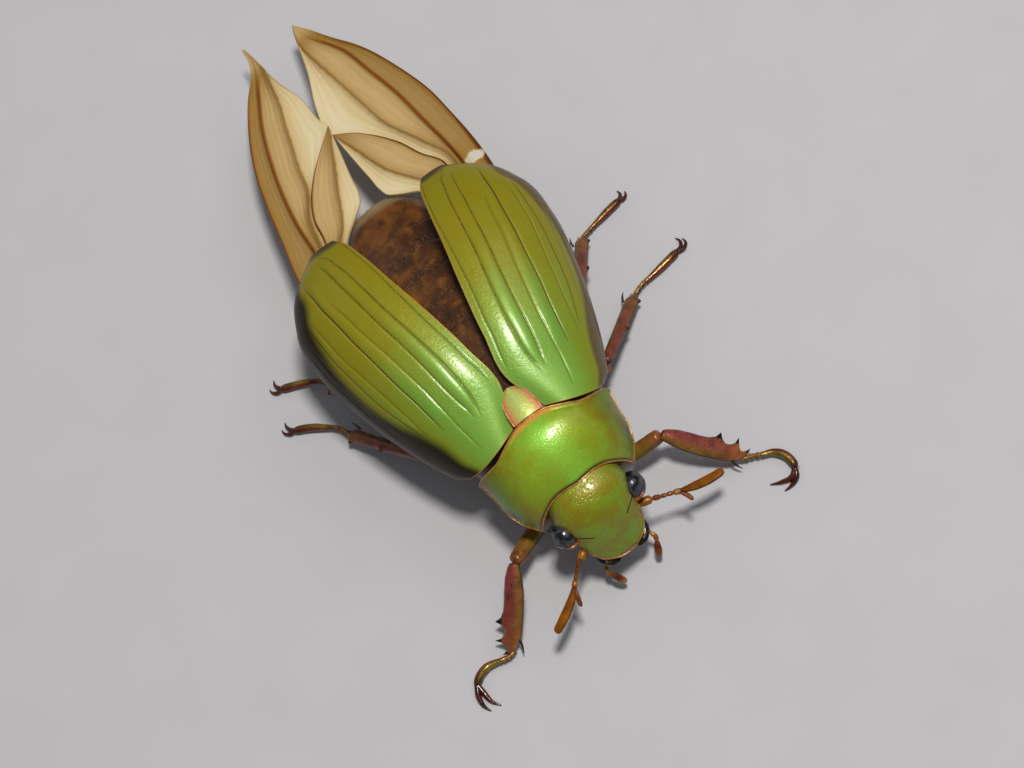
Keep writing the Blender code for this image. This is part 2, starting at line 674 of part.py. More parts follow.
# Feelers: stalk, the long blade of the club and its short blade
ANTENNA = {
    "left": {
        "stalk": [(2.3, -10.7, 5.6), (3.2, -10.95, 5.7), (3.7, -11.1, 5.6), (4.26, -11.27, 5.4),
                  (4.97, -11.51, 5.3), (5.63, -11.77, 5.2)],
        "long": [(5.45, -11.7, 5.2), (6.6, -12.07, 5.15), (7.76, -12.3, 5.1), (8.94, -12.36, 5.0)],
        "short": [(5.45, -11.75, 5.15), (5.75, -12.2, 5.0), (5.94, -12.75, 4.8)],
    },
    "right": {
        "stalk": [(-2.3, -10.8, 5.6), (-2.94, -11.34, 5.7), (-3.35, -11.5, 5.6), (-3.88, -11.93, 5.4),
                  (-4.35, -12.37, 5.3), (-4.75, -12.75, 5.2)],
        "long": [(-4.65, -12.65, 5.2), (-5.56, -13.42, 5.15), (-6.7, -14.1, 5.1), (-7.75, -14.6, 5.0)],
        "short": [(-4.7, -12.7, 5.15), (-4.95, -13.3, 5.0), (-5.16, -14.07, 4.7)],
    },
}
STALK_RADII = (0.3, 0.34, 0.4, 0.28, 0.3, 0.26, 0.3, 0.27, 0.3, 0.34)
BLADE_WIDTHS = (0.28, 0.4, 0.46, 0.48, 0.42, 0.2)
LEAF_WIDTHS = (0.26, 0.3, 0.3, 0.14)


def make_antenna(side, group, head):
    shape = ANTENNA[side]
    stalk = path_points(shape["stalk"], len(STALK_RADII))
    pieces = [limb("antenna_" + side, [(p, r, r) for p, r in zip(stalk, STALK_RADII)], 7, group)]
    blade = path_points(shape["long"], len(BLADE_WIDTHS))
    pieces.append(limb("blade", [(p, w, 0.3) for p, w in zip(blade, BLADE_WIDTHS)], 8, group))
    leaf = path_points(shape["short"], len(LEAF_WIDTHS))
    pieces.append(limb("leaf", [(p, w, 0.25) for p, w in zip(leaf, LEAF_WIDTHS)], 7, group))
    return carve(fuse("antenna_" + side, pieces), [head])


PALP = ((1.0, -10.5, 3.5), (1.55, -11.3, 2.85), (1.95, -12.0, 2.75), (2.15, -12.5, 2.5), (1.95, -12.9, 2.1),
        (1.5, -13.6, 1.3))
PALP_RADII = (0.25, 0.27, 0.25, 0.3, 0.26, 0.3, 0.36, 0.36, 0.22)


def make_palp(side, group, head):
    sign = 1 if side == "left" else -1
    route = path_points(PALP, len(PALP_RADII))
    stations = [((sign * p.x, p.y, p.z), r, r) for p, r in zip(route, PALP_RADII)]
    return carve(limb("palp_" + side, stations, 7, group), [head])


# Jaw: x, y, z, half width and half depth
MANDIBLE = ((1.9, -11.3, 4.0, 0.4, 0.35), (1.85, -11.8, 3.9, 0.45, 0.32), (1.5, -12.35, 3.85, 0.42, 0.3),
            (0.75, -12.7, 3.8, 0.2, 0.16))


def make_mandible(side, group, head):
    sign = 1 if side == "left" else -1
    stations = [((sign * x, y, z), wide, deep) for x, y, z, wide, deep in MANDIBLE]
    return carve(limb("mandible_" + side, stations, 8, group), [head])


COLOURS = {
    "head": ((0.36, 0.42, 0.02), 0.3, 0.8), "eye": ((0.03, 0.035, 0.045), 0.1, 0.0),
    "pronotum": ((0.36, 0.52, 0.03), 0.28, 0.8), "scutellum": ((0.5, 0.6, 0.2), 0.3, 0.8),
    "elytron": ((0.28, 0.42, 0.03), 0.3, 0.8), "hindwing": ((0.6, 0.42, 0.16), 0.4, 0.0),
    "thorax": ((0.2, 0.09, 0.03), 0.5, 0.0), "abdomen": ((0.26, 0.1, 0.03), 0.45, 0.0),
    "pygidium": ((0.3, 0.2, 0.08), 0.4, 0.3), "coxa": ((0.3, 0.14, 0.04), 0.4, 0.4),
    "femur": ((0.42, 0.3, 0.05), 0.32, 0.7), "tibia": ((0.42, 0.15, 0.09), 0.32, 0.8),
    "tarsus": ((0.4, 0.22, 0.06), 0.3, 0.8), "antenna": ((0.55, 0.2, 0.04), 0.35, 0.0),
    "palp": ((0.4, 0.13, 0.04), 0.3, 0.0), "mandible": ((0.02, 0.01, 0.01), 0.3, 0.0),
}


def paint(thing):
    colour, rough, metal = COLOURS[thing.name.split("_")[0]]
    finish = bpy.data.materials.new(thing.name)
    finish.use_nodes = True
    shader = finish.node_tree.nodes["Principled BSDF"]
    shader.inputs["Base Color"].default_value = (*colour, 1.0)
    shader.inputs["Roughness"].default_value = rough
    shader.inputs["Metallic"].default_value = metal
    thing.data.materials.clear()
    thing.data.materials.append(finish)


def place_in_metres(parts):
    """Scale to metres and bring the middle of the footprint to the origin."""
    corners = [v.co for part in parts for v in part.data.vertices]
    low = [min(c[i] for c in corners) for i in range(3)]
    high = [max(c[i] for c in corners) for i in range(3)]
    shift = Matrix.Translation((-(low[0] + high[0]) / 2, -(low[1] + high[1]) / 2, -low[2]))
    for part in parts:
        part.data.transform(Matrix.Scale(MM, 4) @ shift)
        part.data.shade_smooth()
        part.data.set_sharp_from_angle(angle=math.radians(35))
    return low, high


def main():
    clear_scene()
    group = new_collection(BODY_NAME)
    head = make_head(group)
    eyes = make_eyes(group)
    carve(head, eyes)
    shield = make_shield(group)
    carve(shield, [head, *eyes])
    scutellum = make_scutellum(group)
    cases = [make_case("left", group), make_case("right", group)]
    carve(scutellum, cases)
    wings = [make_wing("left", group), make_wing("right", group)]
    thorax_ys = [-2.1, -1.5, -0.6, 0.8, 2.4, 4.0, 5.4, 6.6]
    thorax = body_loft("thorax", THORAX_ROWS, thorax_ys, 22, group)
    carve(thorax, [shield, scutellum, *cases, *wings])
    abdomen = make_abdomen(group)
    pygidium = make_pygidium(group)
    carve(pygidium, [abdomen, *wings])
    carve(abdomen, wings)
    parts = [head, *eyes, shield, scutellum, *cases, *wings, thorax, abdomen, pygidium]
    for side in ("left", "right"):
        parts.append(make_antenna(side, group, head))
        parts.append(make_palp(side, group, head))
        parts.append(make_mandible(side, group, head))
    for place, leg in LEGS.items():
        parts += make_leg(place, leg, group, shield if place.startswith("front") else thorax)
    for part in parts:
        paint(part)
    place_in_metres(parts)


main()
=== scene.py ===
import json
import math

import bpy
import numpy as np
from mathutils import Matrix, Vector

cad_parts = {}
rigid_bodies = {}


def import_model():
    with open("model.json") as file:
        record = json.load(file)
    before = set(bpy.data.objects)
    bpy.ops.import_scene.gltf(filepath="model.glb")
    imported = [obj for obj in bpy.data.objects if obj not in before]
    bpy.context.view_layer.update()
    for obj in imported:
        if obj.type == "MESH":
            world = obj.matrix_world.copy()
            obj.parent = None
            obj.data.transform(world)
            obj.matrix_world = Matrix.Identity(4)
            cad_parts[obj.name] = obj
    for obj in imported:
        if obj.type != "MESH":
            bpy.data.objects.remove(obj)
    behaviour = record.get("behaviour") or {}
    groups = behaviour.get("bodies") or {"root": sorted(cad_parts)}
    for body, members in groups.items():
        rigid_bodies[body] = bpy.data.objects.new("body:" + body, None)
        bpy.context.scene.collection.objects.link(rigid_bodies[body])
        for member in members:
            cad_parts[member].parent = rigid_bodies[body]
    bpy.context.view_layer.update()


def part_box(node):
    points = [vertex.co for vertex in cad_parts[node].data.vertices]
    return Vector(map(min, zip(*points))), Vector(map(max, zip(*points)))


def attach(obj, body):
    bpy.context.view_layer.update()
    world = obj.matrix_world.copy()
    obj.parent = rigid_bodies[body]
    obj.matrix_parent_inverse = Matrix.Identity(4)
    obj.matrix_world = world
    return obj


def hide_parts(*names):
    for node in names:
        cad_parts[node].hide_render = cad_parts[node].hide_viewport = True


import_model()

# Sizes are in millimetres from the tip of the scutellum, as the beetle was measured; head towards -Y
mm = 0.001
eyeHeight = (0.0, -9.8, 7.15)  # middle between the eyes, in those millimetres
eyeCorners = [*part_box("eye_left"), *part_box("eye_right")]
bodyOrigin = np.array(sum(eyeCorners, Vector()) / 4) / mm - np.array(eyeHeight)
chance = np.random.default_rng(7)


def hexColour(code):
    channels = [int(code[i:i + 2], 16) / 255 for i in (1, 3, 5)]
    return tuple(c / 12.92 if c <= 0.04045 else ((c + 0.055) / 1.055) ** 2.4 for c in channels) + (1.0,)


def outputOf(source):
    return source if isinstance(source, bpy.types.NodeSocket) else source.outputs[0]


def addNode(material, kind, settings=None, feeds=None):
    nodes = material.node_tree.nodes
    node = nodes.new("ShaderNode" + kind)
    for name, value in (settings or {}).items():
        if name == "ramp":
            while len(node.color_ramp.elements) < len(value):
                node.color_ramp.elements.new(0.5)
            for element, (position, code) in zip(node.color_ramp.elements, value):
                element.position = position
                element.color = hexColour(code) if isinstance(code, str) else (code, code, code, 1.0)
        elif isinstance(name, str) and hasattr(node, name):
            setattr(node, name, value)
        else:
            node.inputs[name].default_value = hexColour(value) if isinstance(value, str) else value
    for name, source in (feeds or {}).items():
        material.node_tree.links.new(outputOf(source), node.inputs[name])
    return node


def newMaterial(name, colour, metallic, roughness, marks=(), **more):
    # a material with its shader, the place on the piece and the marks of the piece that it reads
    material = bpy.data.materials.new(name)
    material.use_nodes = True
    shader = material.node_tree.nodes["Principled BSDF"]
    shader.inputs["Base Color"].default_value = hexColour(colour)
    shader.inputs["Metallic"].default_value = metallic
    shader.inputs["Roughness"].default_value = roughness
    for name, value in more.items():
        socket = {"coat": "Coat Weight", "coatRoughness": "Coat Roughness", "scatter": "Subsurface Weight",
                  "scatterScale": "Subsurface Scale", "specular": "Specular IOR Level"}[name]
        shader.inputs[socket].default_value = value
    place = addNode(material, "TexCoord").outputs["Object"]
    marks = {label: addNode(material, "Attribute", {"attribute_name": label}).outputs["Fac"]
             for label in marks}
    return material, shader, place, marks


def feed(material, source, shader, *sockets):
    for socket in sockets:
        material.node_tree.links.new(outputOf(source), shader.inputs[socket])


def painted(material, under, cover, amount, ramp=None):
    # one colour laid over another, as far as the amount says, read through the ramp if there is one
    if ramp:
        amount = addNode(material, "ValToRGB", {"ramp": ramp}, {"Fac": amount})
    feeds = {0: amount, 6: under}
    if not isinstance(cover, str):
        feeds[7] = cover
    settings = {"data_type": "RGBA", 7: cover} if isinstance(cover, str) else {"data_type": "RGBA"}
    return addNode(material, "Mix", settings, feeds).outputs[2]


def perSize(size):
    return 1 / (size * mm)  # noise scale for a pattern of that many millimetres


def throughRows(rows, at):
    # smooth curve through the rows of a table, whose first column is the place
    table = np.array(rows, float)
    table = table[np.argsort(table[:, 0])]
    knots, values = table[:, 0], table[:, 1:]
    slopes = np.gradient(values, knots, axis=0)
    at = np.asarray(at, float)
    k = np.clip(np.searchsorted(knots, at) - 1, 0, len(knots) - 2)
    span = (knots[k + 1] - knots[k])[..., None]
    t = (at - knots[k])[..., None] / span
    start = (1 + 2 * t) * (1 - t) ** 2 * values[k] + t * (1 - t) ** 2 * span * slopes[k]
    return start + t * t * (3 - 2 * t) * values[k + 1] + t * t * (t - 1) * span * slopes[k + 1]


def alongPath(points, shares):
    points = np.array(points, float)
    steps = np.concatenate([[0], np.cumsum(np.linalg.norm(np.diff(points, axis=0), axis=1))])
    return throughRows(np.column_stack([steps, points]), np.asarray(shares) * steps[-1])


def unit(vectors):
    return vectors / np.maximum(np.linalg.norm(vectors, axis=-1, keepdims=True), 1e-9)


def signedPower(value, power):
    return np.sign(value) * np.abs(value) ** power


def rise(value, start, end):
    # 0 up to start, then smoothly up to 1 at end
    t = np.clip((value - start) / (end - start), 0, 1)
    return t * t * (3 - 2 * t)


def hump(value, half):
    return np.exp(-(value / half) ** 2)


def pick(*pieces):
    for thing in bpy.context.view_layer.objects:
        thing.select_set(thing in pieces)
    if pieces:
        bpy.context.view_layer.objects.active = pieces[0]


def newObject(name, data):
    thing = bpy.data.objects.new(name, data)
    bpy.context.scene.collection.objects.link(thing)
    return thing


def readPoints(piece):
    points = np.empty(len(piece.data.vertices) * 3, np.float32)
    piece.data.vertices.foreach_get("co", points)
    return points.reshape(-1, 3).astype(float)


def writePoints(piece, points):
    piece.data.vertices.foreach_set("co", ((points + bodyOrigin) * mm).astype(np.float32).ravel())
    piece.data.update()


def mark(piece, **numbers):
    # numbers for each point, which the piece's material reads
    for name, values in numbers.items():
        layer = piece.data.attributes.new(name, "FLOAT", "POINT")
        layer.data.foreach_set("value", np.broadcast_to(values, len(piece.data.vertices)).astype(np.float32))


def newBall(name, around, along):
    pick()
    bpy.ops.mesh.primitive_uv_sphere_add(segments=around, ring_count=along, radius=1)
    piece = bpy.context.object
    piece.name = piece.data.name = name
    points = readPoints(piece)
    ring = np.round(np.arccos(np.clip(-points[:, 2], -1, 1)) / math.pi * along) / along
    angle = np.arctan2(points[:, 1], points[:, 0])
    pole = (ring == 0) | (ring == 1)
    return piece, ring, angle, pole


def newSheet(name, columns, rows):
    pick()
    bpy.ops.mesh.primitive_grid_add(x_subdivisions=columns, y_subdivisions=rows, size=2)
    piece = bpy.context.object
    piece.name = piece.data.name = name
    points = readPoints(piece)
    return piece, (points[:, 0] + 1) / 2, (points[:, 1] + 1) / 2


def drawnOut(name, path, across, deep, around=14, along=40, toward=None, cap=0.08, edge=99.0, black=1.1):
    # a ball drawn out along a path; across has share and half size, or share, outer and inner half sizes,
    # where outer lies toward the given direction and what passes edge is drawn out thin, as a tooth;
    # from the share black on, all of it counts as tooth
    piece, ring, angle, pole = newBall(name, around, along)
    centre = alongPath(path, ring)
    ahead = unit(alongPath(path, np.minimum(ring + 0.02, 1)) - alongPath(path, np.maximum(ring - 0.02, 0)))
    if toward is None:
        side = unit(np.cross(ahead, (0, 0, 1)))
    else:
        side = unit(toward - ahead * (ahead @ toward)[:, None])
    lift = np.cross(side, ahead)
    end = np.minimum(ring, 1 - ring)
    rounding = np.sqrt(np.clip(1 - (1 - np.minimum(end / cap, 1)) ** 2, 0, 1)) * ~pole
    columns = list(zip(*across))
    outer, inner = np.interp(ring, columns[0], columns[1]), np.interp(ring, columns[0], columns[-1])
    reach = np.cos(angle)
    extra = np.maximum(outer - edge, 0)
    offset = (outer - inner - extra) / 2 + (outer + inner - extra) / 2 * reach * rounding
    offset += extra * np.maximum(reach, 0) ** 3
    if len(columns) == 2:
        offset = outer * reach * rounding
    height = np.interp(ring, *zip(*deep)) * rounding * np.sin(angle)
    writePoints(piece, centre + side * offset[:, None] + lift * height[:, None])
    tooth = np.maximum(np.clip((offset - edge) / 0.2, 0, 1), rise(ring, black, black + 0.03))
    mark(piece, along=ring, side=reach, tooth=tooth)
    tidyNormals(piece)
    return piece


def tidyNormals(piece):
    pick(piece)
    bpy.ops.object.mode_set(mode="EDIT")
    bpy.ops.mesh.select_all(action="SELECT")
    bpy.ops.mesh.normals_make_consistent(inside=False)
    bpy.ops.mesh.select_all(action="DESELECT")
    bpy.ops.object.mode_set(mode="OBJECT")
    bpy.ops.object.shade_smooth()


def addWall(piece, thickness):
    # thickness of a sheet, below its upper face
    pick(piece)
    step = piece.modifiers.new("wall", "SOLIDIFY")
    step.thickness = thickness * mm
    step.offset = -1.0
    step.use_even_offset = False
    bpy.ops.object.modifier_apply(modifier=step.name)
    bpy.ops.object.shade_smooth_by_angle(angle=math.radians(50))


def joined(name, pieces):
    pick(*pieces)
    bpy.ops.object.join()
    whole = bpy.context.object
    whole.name = whole.data.name = name
    return whole


def dress(piece, material):
    piece.data.materials.clear()
    piece.data.materials.append(material)
    return piece


def finished(piece, slot, *nodes):
    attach(piece, "root")
    if nodes:
        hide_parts(*nodes)


def makeHairs(name, roots, aims, lengths, thick, spots, material, slot, droop=0.25):
    # hairs as thin bent spikes of three sides; spots says where each root lies on an unwrap of its skin
    aims, lengths = unit(aims), np.asarray(lengths)
    share = np.linspace(0, 1, 4)
    side = unit(np.cross(aims, (0.13, 0.2, 1.0)))
    over = np.cross(side, aims)
    spine = roots[:, None] + aims[:, None] * (lengths[:, None] * share)[..., None]
    spine[..., 2] = np.maximum(spine[..., 2] - droop * lengths[:, None] * share ** 2, 0.06)
    turns = np.radians([0, 120, 240])
    ring = side[:, None, None] * np.cos(turns)[:, None] + over[:, None, None] * np.sin(turns)[:, None]
    points = spine[:, :, None] + ring * (thick * (1 - 0.85 * share))[None, :, None, None]
    walls = [(3 * k + j, 3 * k + (j + 1) % 3, 3 * k + 3 + (j + 1) % 3, 3 * k + 3 + j)
             for k in range(3) for j in range(3)]
    pattern = [*walls, (2, 1, 0), (9, 10, 11)]
    faces = [tuple(v + 12 * i for v in face) for i in range(len(roots)) for face in pattern]
    mesh = bpy.data.meshes.new(name)
    mesh.from_pydata(((points.reshape(-1, 3) + bodyOrigin) * mm).tolist(), [], faces)
    piece = newObject(name, mesh)
    tidyNormals(piece)
    corners = np.empty(len(mesh.loops), np.int32)
    mesh.loops.foreach_get("vertex_index", corners)
    patch = np.asarray(spots)[corners // 12] + np.stack([corners % 3, corners % 12 // 3], axis=-1) * 0.001
    mesh.uv_layers.new(name="OFBake").data.foreach_set("uv", np.clip(patch, 0, 1).astype(np.float32).ravel())
    mark(piece, along=np.tile(np.repeat(share, 3), len(roots)))
    finished(dress(piece, material), slot)


print("ready to build")

wingCase = {
    # share of the length, seam x y z, outer edge x y z, of the shut left case
    "rows": [(0, 1.6, -2.45, 11.75, 6.1, -2.3, 8.6), (0.06, 0.85, -1.1, 12.02, 6.6, -1.6, 8.1),
             (0.12, 0.15, 0.2, 12.27, 6.9, -0.6, 7.7), (0.3, -0.05, 4, 12.7, 7.65, 3.2, 6.8),
             (0.5, 0, 8, 12.5, 8.1, 7.3, 6.4), (0.68, 0.12, 11.6, 11.8, 8.1, 11.2, 6.3),
             (0.84, 0.12, 14.8, 10.6, 7.1, 14.6, 6.5), (0.94, 0.2, 16.7, 9.4, 4.9, 16.9, 6.9),
             (1, 0.5, 17.6, 8.6, 2.3, 18, 7.5)],
    "hinge": (1.6, -1.5, 11.0),
    "open": {"left": (11, 8, 0), "right": (8.5, 10, -7)},  # turned out, up and rolled, in degrees
    "wall": 0.3,
    "columns": 300,
    "lengths": 158,
    "dotGap": 0.25,  # mm between the punctures of a row
    # furrows: depth mm, darkness, dots, start and end along the case, then the line as along and across
    "furrows": [
        (0.035, 0.3, 0.9, 0.15, 0.97, [(0, 0.05), (0.3, 0.045), (0.5, 0.046), (0.65, 0.032), (0.8, 0.022),
                                       (1, 0.03)]),
        (0.045, 0.4, 1.0, 0.1, 0.985, [(0, 0.3), (0.12, 0.237), (0.2, 0.197), (0.3, 0.17), (0.42, 0.16),
                                       (0.6, 0.155), (0.75, 0.15), (0.83, 0.158), (0.89, 0.187),
                                       (0.94, 0.25), (0.97, 0.38), (1, 0.6)]),
        (0.045, 0.4, 1.0, 0.12, 0.95, [(0, 0.27), (0.13, 0.283), (0.2, 0.286), (0.3, 0.27), (0.4, 0.255),
                                       (0.6, 0.241), (0.7, 0.237), (0.8, 0.245), (0.87, 0.27), (0.91, 0.305),
                                       (0.95, 0.38), (1, 0.5)]),
        (0.035, 0.15, 0.1, 0.03, 0.8, [(0, 0.34), (0.05, 0.385), (0.1, 0.41), (0.15, 0.415), (0.2, 0.4),
                                       (0.3, 0.37), (0.4, 0.358), (0.6, 0.35), (0.75, 0.36), (0.85, 0.4),
                                       (1, 0.5)]),
        (0.055, 0.9, 0.3, 0.17, 0.92, [(0, 0.5), (0.12, 0.52), (0.2, 0.507), (0.3, 0.478), (0.4, 0.465),
                                       (0.6, 0.438), (0.7, 0.434), (0.78, 0.445), (0.84, 0.475),
                                       (0.88, 0.52), (0.92, 0.6), (1, 0.8)]),
        (0.03, 0.25, 0.1, 0.2, 0.8, [(0, 0.66), (0.22, 0.635), (0.3, 0.61), (0.4, 0.59), (0.6, 0.58),
                                     (0.75, 0.585), (1, 0.65)]),
        (0.045, 0.6, 0.1, 0.22, 0.83, [(0, 0.66), (0.25, 0.667), (0.35, 0.68), (0.45, 0.677), (0.6, 0.658),
                                       (0.75, 0.648), (1, 0.7)]),
        (0.03, 0.2, 0.0, 0.28, 0.76, [(0, 0.77), (0.5, 0.765), (1, 0.74)]),
        (0.04, 0.3, 0.0, 0.25, 0.75, [(0, 0.87), (0.3, 0.87), (0.6, 0.845), (1, 0.86)])],
    "ribs": [(1, 2, 0.075), (3, 4, 0.07), (5, 6, 0.04)],  # furrows each side, counted from 0, and height mm
    # where the brown margin begins, across
    "band": [(0, 0.68), (0.06, 0.71), (0.16, 0.71), (0.24, 0.735), (0.32, 0.79), (0.4, 0.82), (0.5, 0.825),
             (0.6, 0.79), (0.7, 0.735), (0.8, 0.69), (0.88, 0.675), (0.93, 0.8), (1, 0.95)],
}


def casePoints(across, along):
    rows = throughRows(wingCase["rows"], along)
    seam, edge = rows[..., 0:3], rows[..., 3:6]
    angle = across * math.pi / 2
    x = seam[..., 0] + (edge[..., 0] - seam[..., 0]) * np.sin(angle)
    z = edge[..., 2] + (seam[..., 2] - edge[..., 2]) * np.maximum(np.cos(angle), 0) ** 0.86
    y = seam[..., 1] + (edge[..., 1] - seam[..., 1]) * across
    y = y - 0.5 * np.sin(math.pi * across) * np.maximum(0, 1 - along / 0.15)
    return np.stack([x, y, z], axis=-1)


def makeWingCase(side, material):
    case, across, along = newSheet("wing_case_" + side, wingCase["columns"], wingCase["lengths"])
    points = casePoints(across, along)
    step = 0.01
    sideways = (casePoints(across + step, along) - casePoints(across - step, along)) / (2 * step)
    lengthways = (casePoints(across, along + step) - casePoints(across, along - step)) / (2 * step)
    outward = unit(np.cross(sideways, lengthways))
    wide, long = np.linalg.norm(sideways, axis=1), np.linalg.norm(lengthways, axis=1)
    nearest, run, ink, dotted, height = (np.full(len(across), v) for v in (9.0, 0.0, 0.0, 0.0, 0.0))
    lines, present = [], []
    grid = np.linspace(0, 1, 500)
    for depth, dark, dots, start, end, line in wingCase["furrows"]:
        place = throughRows(line, along)[:, 0]
        slope = (throughRows(line, along + step)[:, 0] - throughRows(line, along - step)[:, 0]) / (2 * step)
        lean = slope * wide / long
        away = np.abs(across - place) * wide / np.sqrt(1 + lean ** 2)
        there = rise(along, start, start + 0.08) * (1 - rise(along, end - 0.06, end))
        height -= depth * there * hump(away, 0.1)
        track = throughRows(line, grid)[:, 0]
        steps = np.hypot(20.0 / 499, np.diff(track) * 10.0)
        length = np.interp(along, grid, np.concatenate([[0], np.cumsum(steps)]))
        closer = (away < nearest) & (there > 0.05)
        nearest = np.where(closer, away, nearest)
        ink = np.where(closer, dark * there, ink)
        dotted = np.where(closer, dots * there * rise(along, 0.25, 0.6), dotted)
        run = np.where(closer, length, run)
        lines.append(place)
        present.append(there)
    ribbed = np.zeros(len(across))
    for a, b, high in wingCase["ribs"]:
        t = np.clip((across - lines[a]) / (lines[b] - lines[a]), 0, 1)
        rib = np.sin(math.pi * t) * rise(along, 0.04, 0.16) * present[b]
        height += high * rib
        ribbed = np.maximum(ribbed, rib)
    sides = np.minimum(across, 1 - across) * wide
    ends = np.minimum(along, 1 - along) * long
    height *= rise(sides, 0, 0.5) * rise(ends, 0, 0.8)
    height -= 0.12 * hump(across * wide, 0.9)
    points = points + outward * (height - 0.04)[:, None]
    turnOut, turnUp, roll = (math.radians(a) for a in wingCase["open"][side])
    turn = Matrix.Rotation(-turnOut, 3, "Z") @ Matrix.Rotation(turnUp, 3, "X")
    turn = turn @ Matrix.Rotation(roll, 3, "Y")
    hinge = np.array(wingCase["hinge"])
    points = hinge + (points - hinge) @ np.array(turn).T
    if side == "right":
        points[:, 0] *= -1
    writePoints(case, points)
    green = (1 - rise(across, 0.4, 0.7)) * (1 - rise(along, 0.1, 0.62))
    green += 0.3 * ribbed * (1 - rise(along, 0.35, 0.7))
    margin = throughRows(wingCase["band"], along)[:, 0]
    band = rise(across, margin - 0.02, margin + 0.05)
    # painted shade: the right case's outer side, turned away from the light, is painted nearly black
    dusk = 0.0 if side == "left" else rise(across, margin - 0.14, margin)
    rim = np.minimum(across * wide, along * long)
    tip = np.minimum((1 - along) * long, (1 - across) * wide)
    leather = (1 - rise(across, 0.4, 0.6)) * rise(along, 0.06, 0.2)
    leather *= (1 - rise(along, 0.6, 0.85)) * (1 - 0.6 * ribbed)
    mark(case, furrow=nearest, run=run, ink=ink, dotted=dotted, green=green, band=band, rim=rim, tip=tip,
         leather=leather,
         along=along, dusk=dusk)
    if side == "right":
        case.data.flip_normals()
    addWall(case, wingCase["wall"])
    dress(case, material)
    finished(case, "wing_case", "elytron_" + side)


def caseMaterial():
    # jewel beetle wing case: layered chitin, which shines like satin green metal under a clear skin
    material, shader, place, marks = newMaterial(
        "jewelGreenWingCase", "#82901c", 0.16, 0.4, ("furrow", "run", "ink", "dotted", "green", "band",
                                                     "rim", "tip", "leather", "along", "dusk"),
        coat=0.3, coatRoughness=0.19, specular=0.15)
    tone = addNode(material, "ValToRGB", {"ramp": [(0.0, "#78861a"), (0.3, "#84871a"), (0.65, "#877f14"),
                                                   (1.0, "#857a08")]},
                   {"Fac": marks["along"]})
    cloudy = addNode(material, "TexNoise", {"Scale": perSize(1.4), "Detail": 6.0, "Distortion": 0.5},
                     {"Vector": place})
    drift = addNode(material, "Math", {"operation": "MULTIPLY_ADD", 1: 0.5, 2: -0.25},
                    {0: cloudy.outputs["Fac"]})
    greener = addNode(material, "Math", {"operation": "ADD", "use_clamp": True},
                      {0: marks["green"], 1: drift})
    colour = painted(material, tone, "#6f9a38", greener)
    # painted shade: an olive-brown tint along each furrow, strongest in the groove
    colour = painted(material, colour, "#6c640c", marks["furrow"], [(0.0, 0.4), (0.12, 0.0)])
    thread = addNode(material, "ValToRGB", {"ramp": [(0.0, 1.0), (0.03, 0.8), (0.07, 0.0)]},
                     {"Fac": marks["furrow"]})
    line = addNode(material, "Math", {"operation": "MULTIPLY"}, {0: thread, 1: marks["ink"]})
    colour = painted(material, colour, "#2a2206", line)
    # punctures: round black pits in rows along the furrows, strongest towards the tip
    beads = addNode(material, "Math", {"operation": "MULTIPLY", 1: 1 / wingCase["dotGap"]},
                    {0: marks["run"]})
    bead = addNode(material, "Math", {"operation": "PINGPONG", 1: 0.5}, {0: beads})
    bead = addNode(material, "Math", {"operation": "MULTIPLY", 1: wingCase["dotGap"]}, {0: bead})
    spot = addNode(material, "CombineXYZ", feeds={0: bead, 1: marks["furrow"]})
    spot = addNode(material, "VectorMath", {"operation": "LENGTH"}, {0: spot}).outputs["Value"]
    spot = addNode(material, "ValToRGB", {"ramp": [(0.026, 1.0), (0.058, 0.0)]}, {"Fac": spot})
    odd = addNode(material, "TexNoise", {"Scale": perSize(0.5)}, {"Vector": place})
    odd = addNode(material, "ValToRGB", {"ramp": [(0.47, 0.0), (0.56, 1.0)]}, {"Fac": odd.outputs["Fac"]})
    spot = addNode(material, "Math", {"operation": "MULTIPLY"}, {0: spot, 1: odd})
    dots = addNode(material, "Math", {"operation": "MULTIPLY"}, {0: spot, 1: marks["dotted"]})
    colour = painted(material, colour, "#100e04", dots)
    # brown margin, painted shade on the outer side of the right case, a dark tip and a thin golden edge at
    # seam and base
    colour = painted(material, colour, "#5c4a1c", marks["band"])
    colour = painted(material, colour, "#1e1503", marks["dusk"])
    colour = painted(material, colour, "#3c2e1a", marks["tip"], [(0.45, 0.9), (0.95, 0.0)])
    colour = painted(material, colour, "#a07a30", marks["rim"], [(0.04, 0.8), (0.11, 0.0)])
    feed(material, colour, shader, "Base Color")
    # leather-like wrinkles about 0.4 mm apart on the inner half, and fine grain all over
    wrinkle = addNode(material, "TexNoise", {"Scale": perSize(0.42), "Detail": 2.0, "Distortion": 1.6},
                      {"Vector": place})
    creased = addNode(material, "Math", {"operation": "MULTIPLY"},
                      {0: wrinkle.outputs["Fac"], 1: marks["leather"]})
    grain = addNode(material, "TexVoronoi", {"Scale": perSize(0.15)}, {"Vector": place})
    height = addNode(material, "Math", {"operation": "MULTIPLY_ADD", 1: 0.12}, {0: grain, 2: creased})
    height = addNode(material, "Math", {"operation": "MULTIPLY_ADD", 1: -0.8}, {0: dots, 2: height})
    height = addNode(material, "Math", {"operation": "MULTIPLY_ADD", 1: -0.4}, {0: line, 2: height})
    bump = addNode(material, "Bump", {"Strength": 0.6, "Distance": 0.05 * mm}, {"Height": height})
    feed(material, bump, shader, "Normal")
    softer = addNode(material, "Bump", {"Strength": 0.2, "Distance": 0.05 * mm}, {"Height": height})
    feed(material, softer, shader, "Coat Normal")
    shine = addNode(material, "Math", {"operation": "MULTIPLY_ADD", 1: 0.16, 2: 0.34},
                    {0: cloudy.outputs["Fac"]})
    # rougher where the painted shade lies
    dull = addNode(material, "Math", {"operation": "MULTIPLY_ADD", 1: 0.2}, {0: marks["dusk"], 2: shine})
    feed(material, dull, shader, "Roughness")
    return material


caseShell = caseMaterial()
for side in ("left", "right"):
    makeWingCase(side, caseShell)
print("wing cases made")

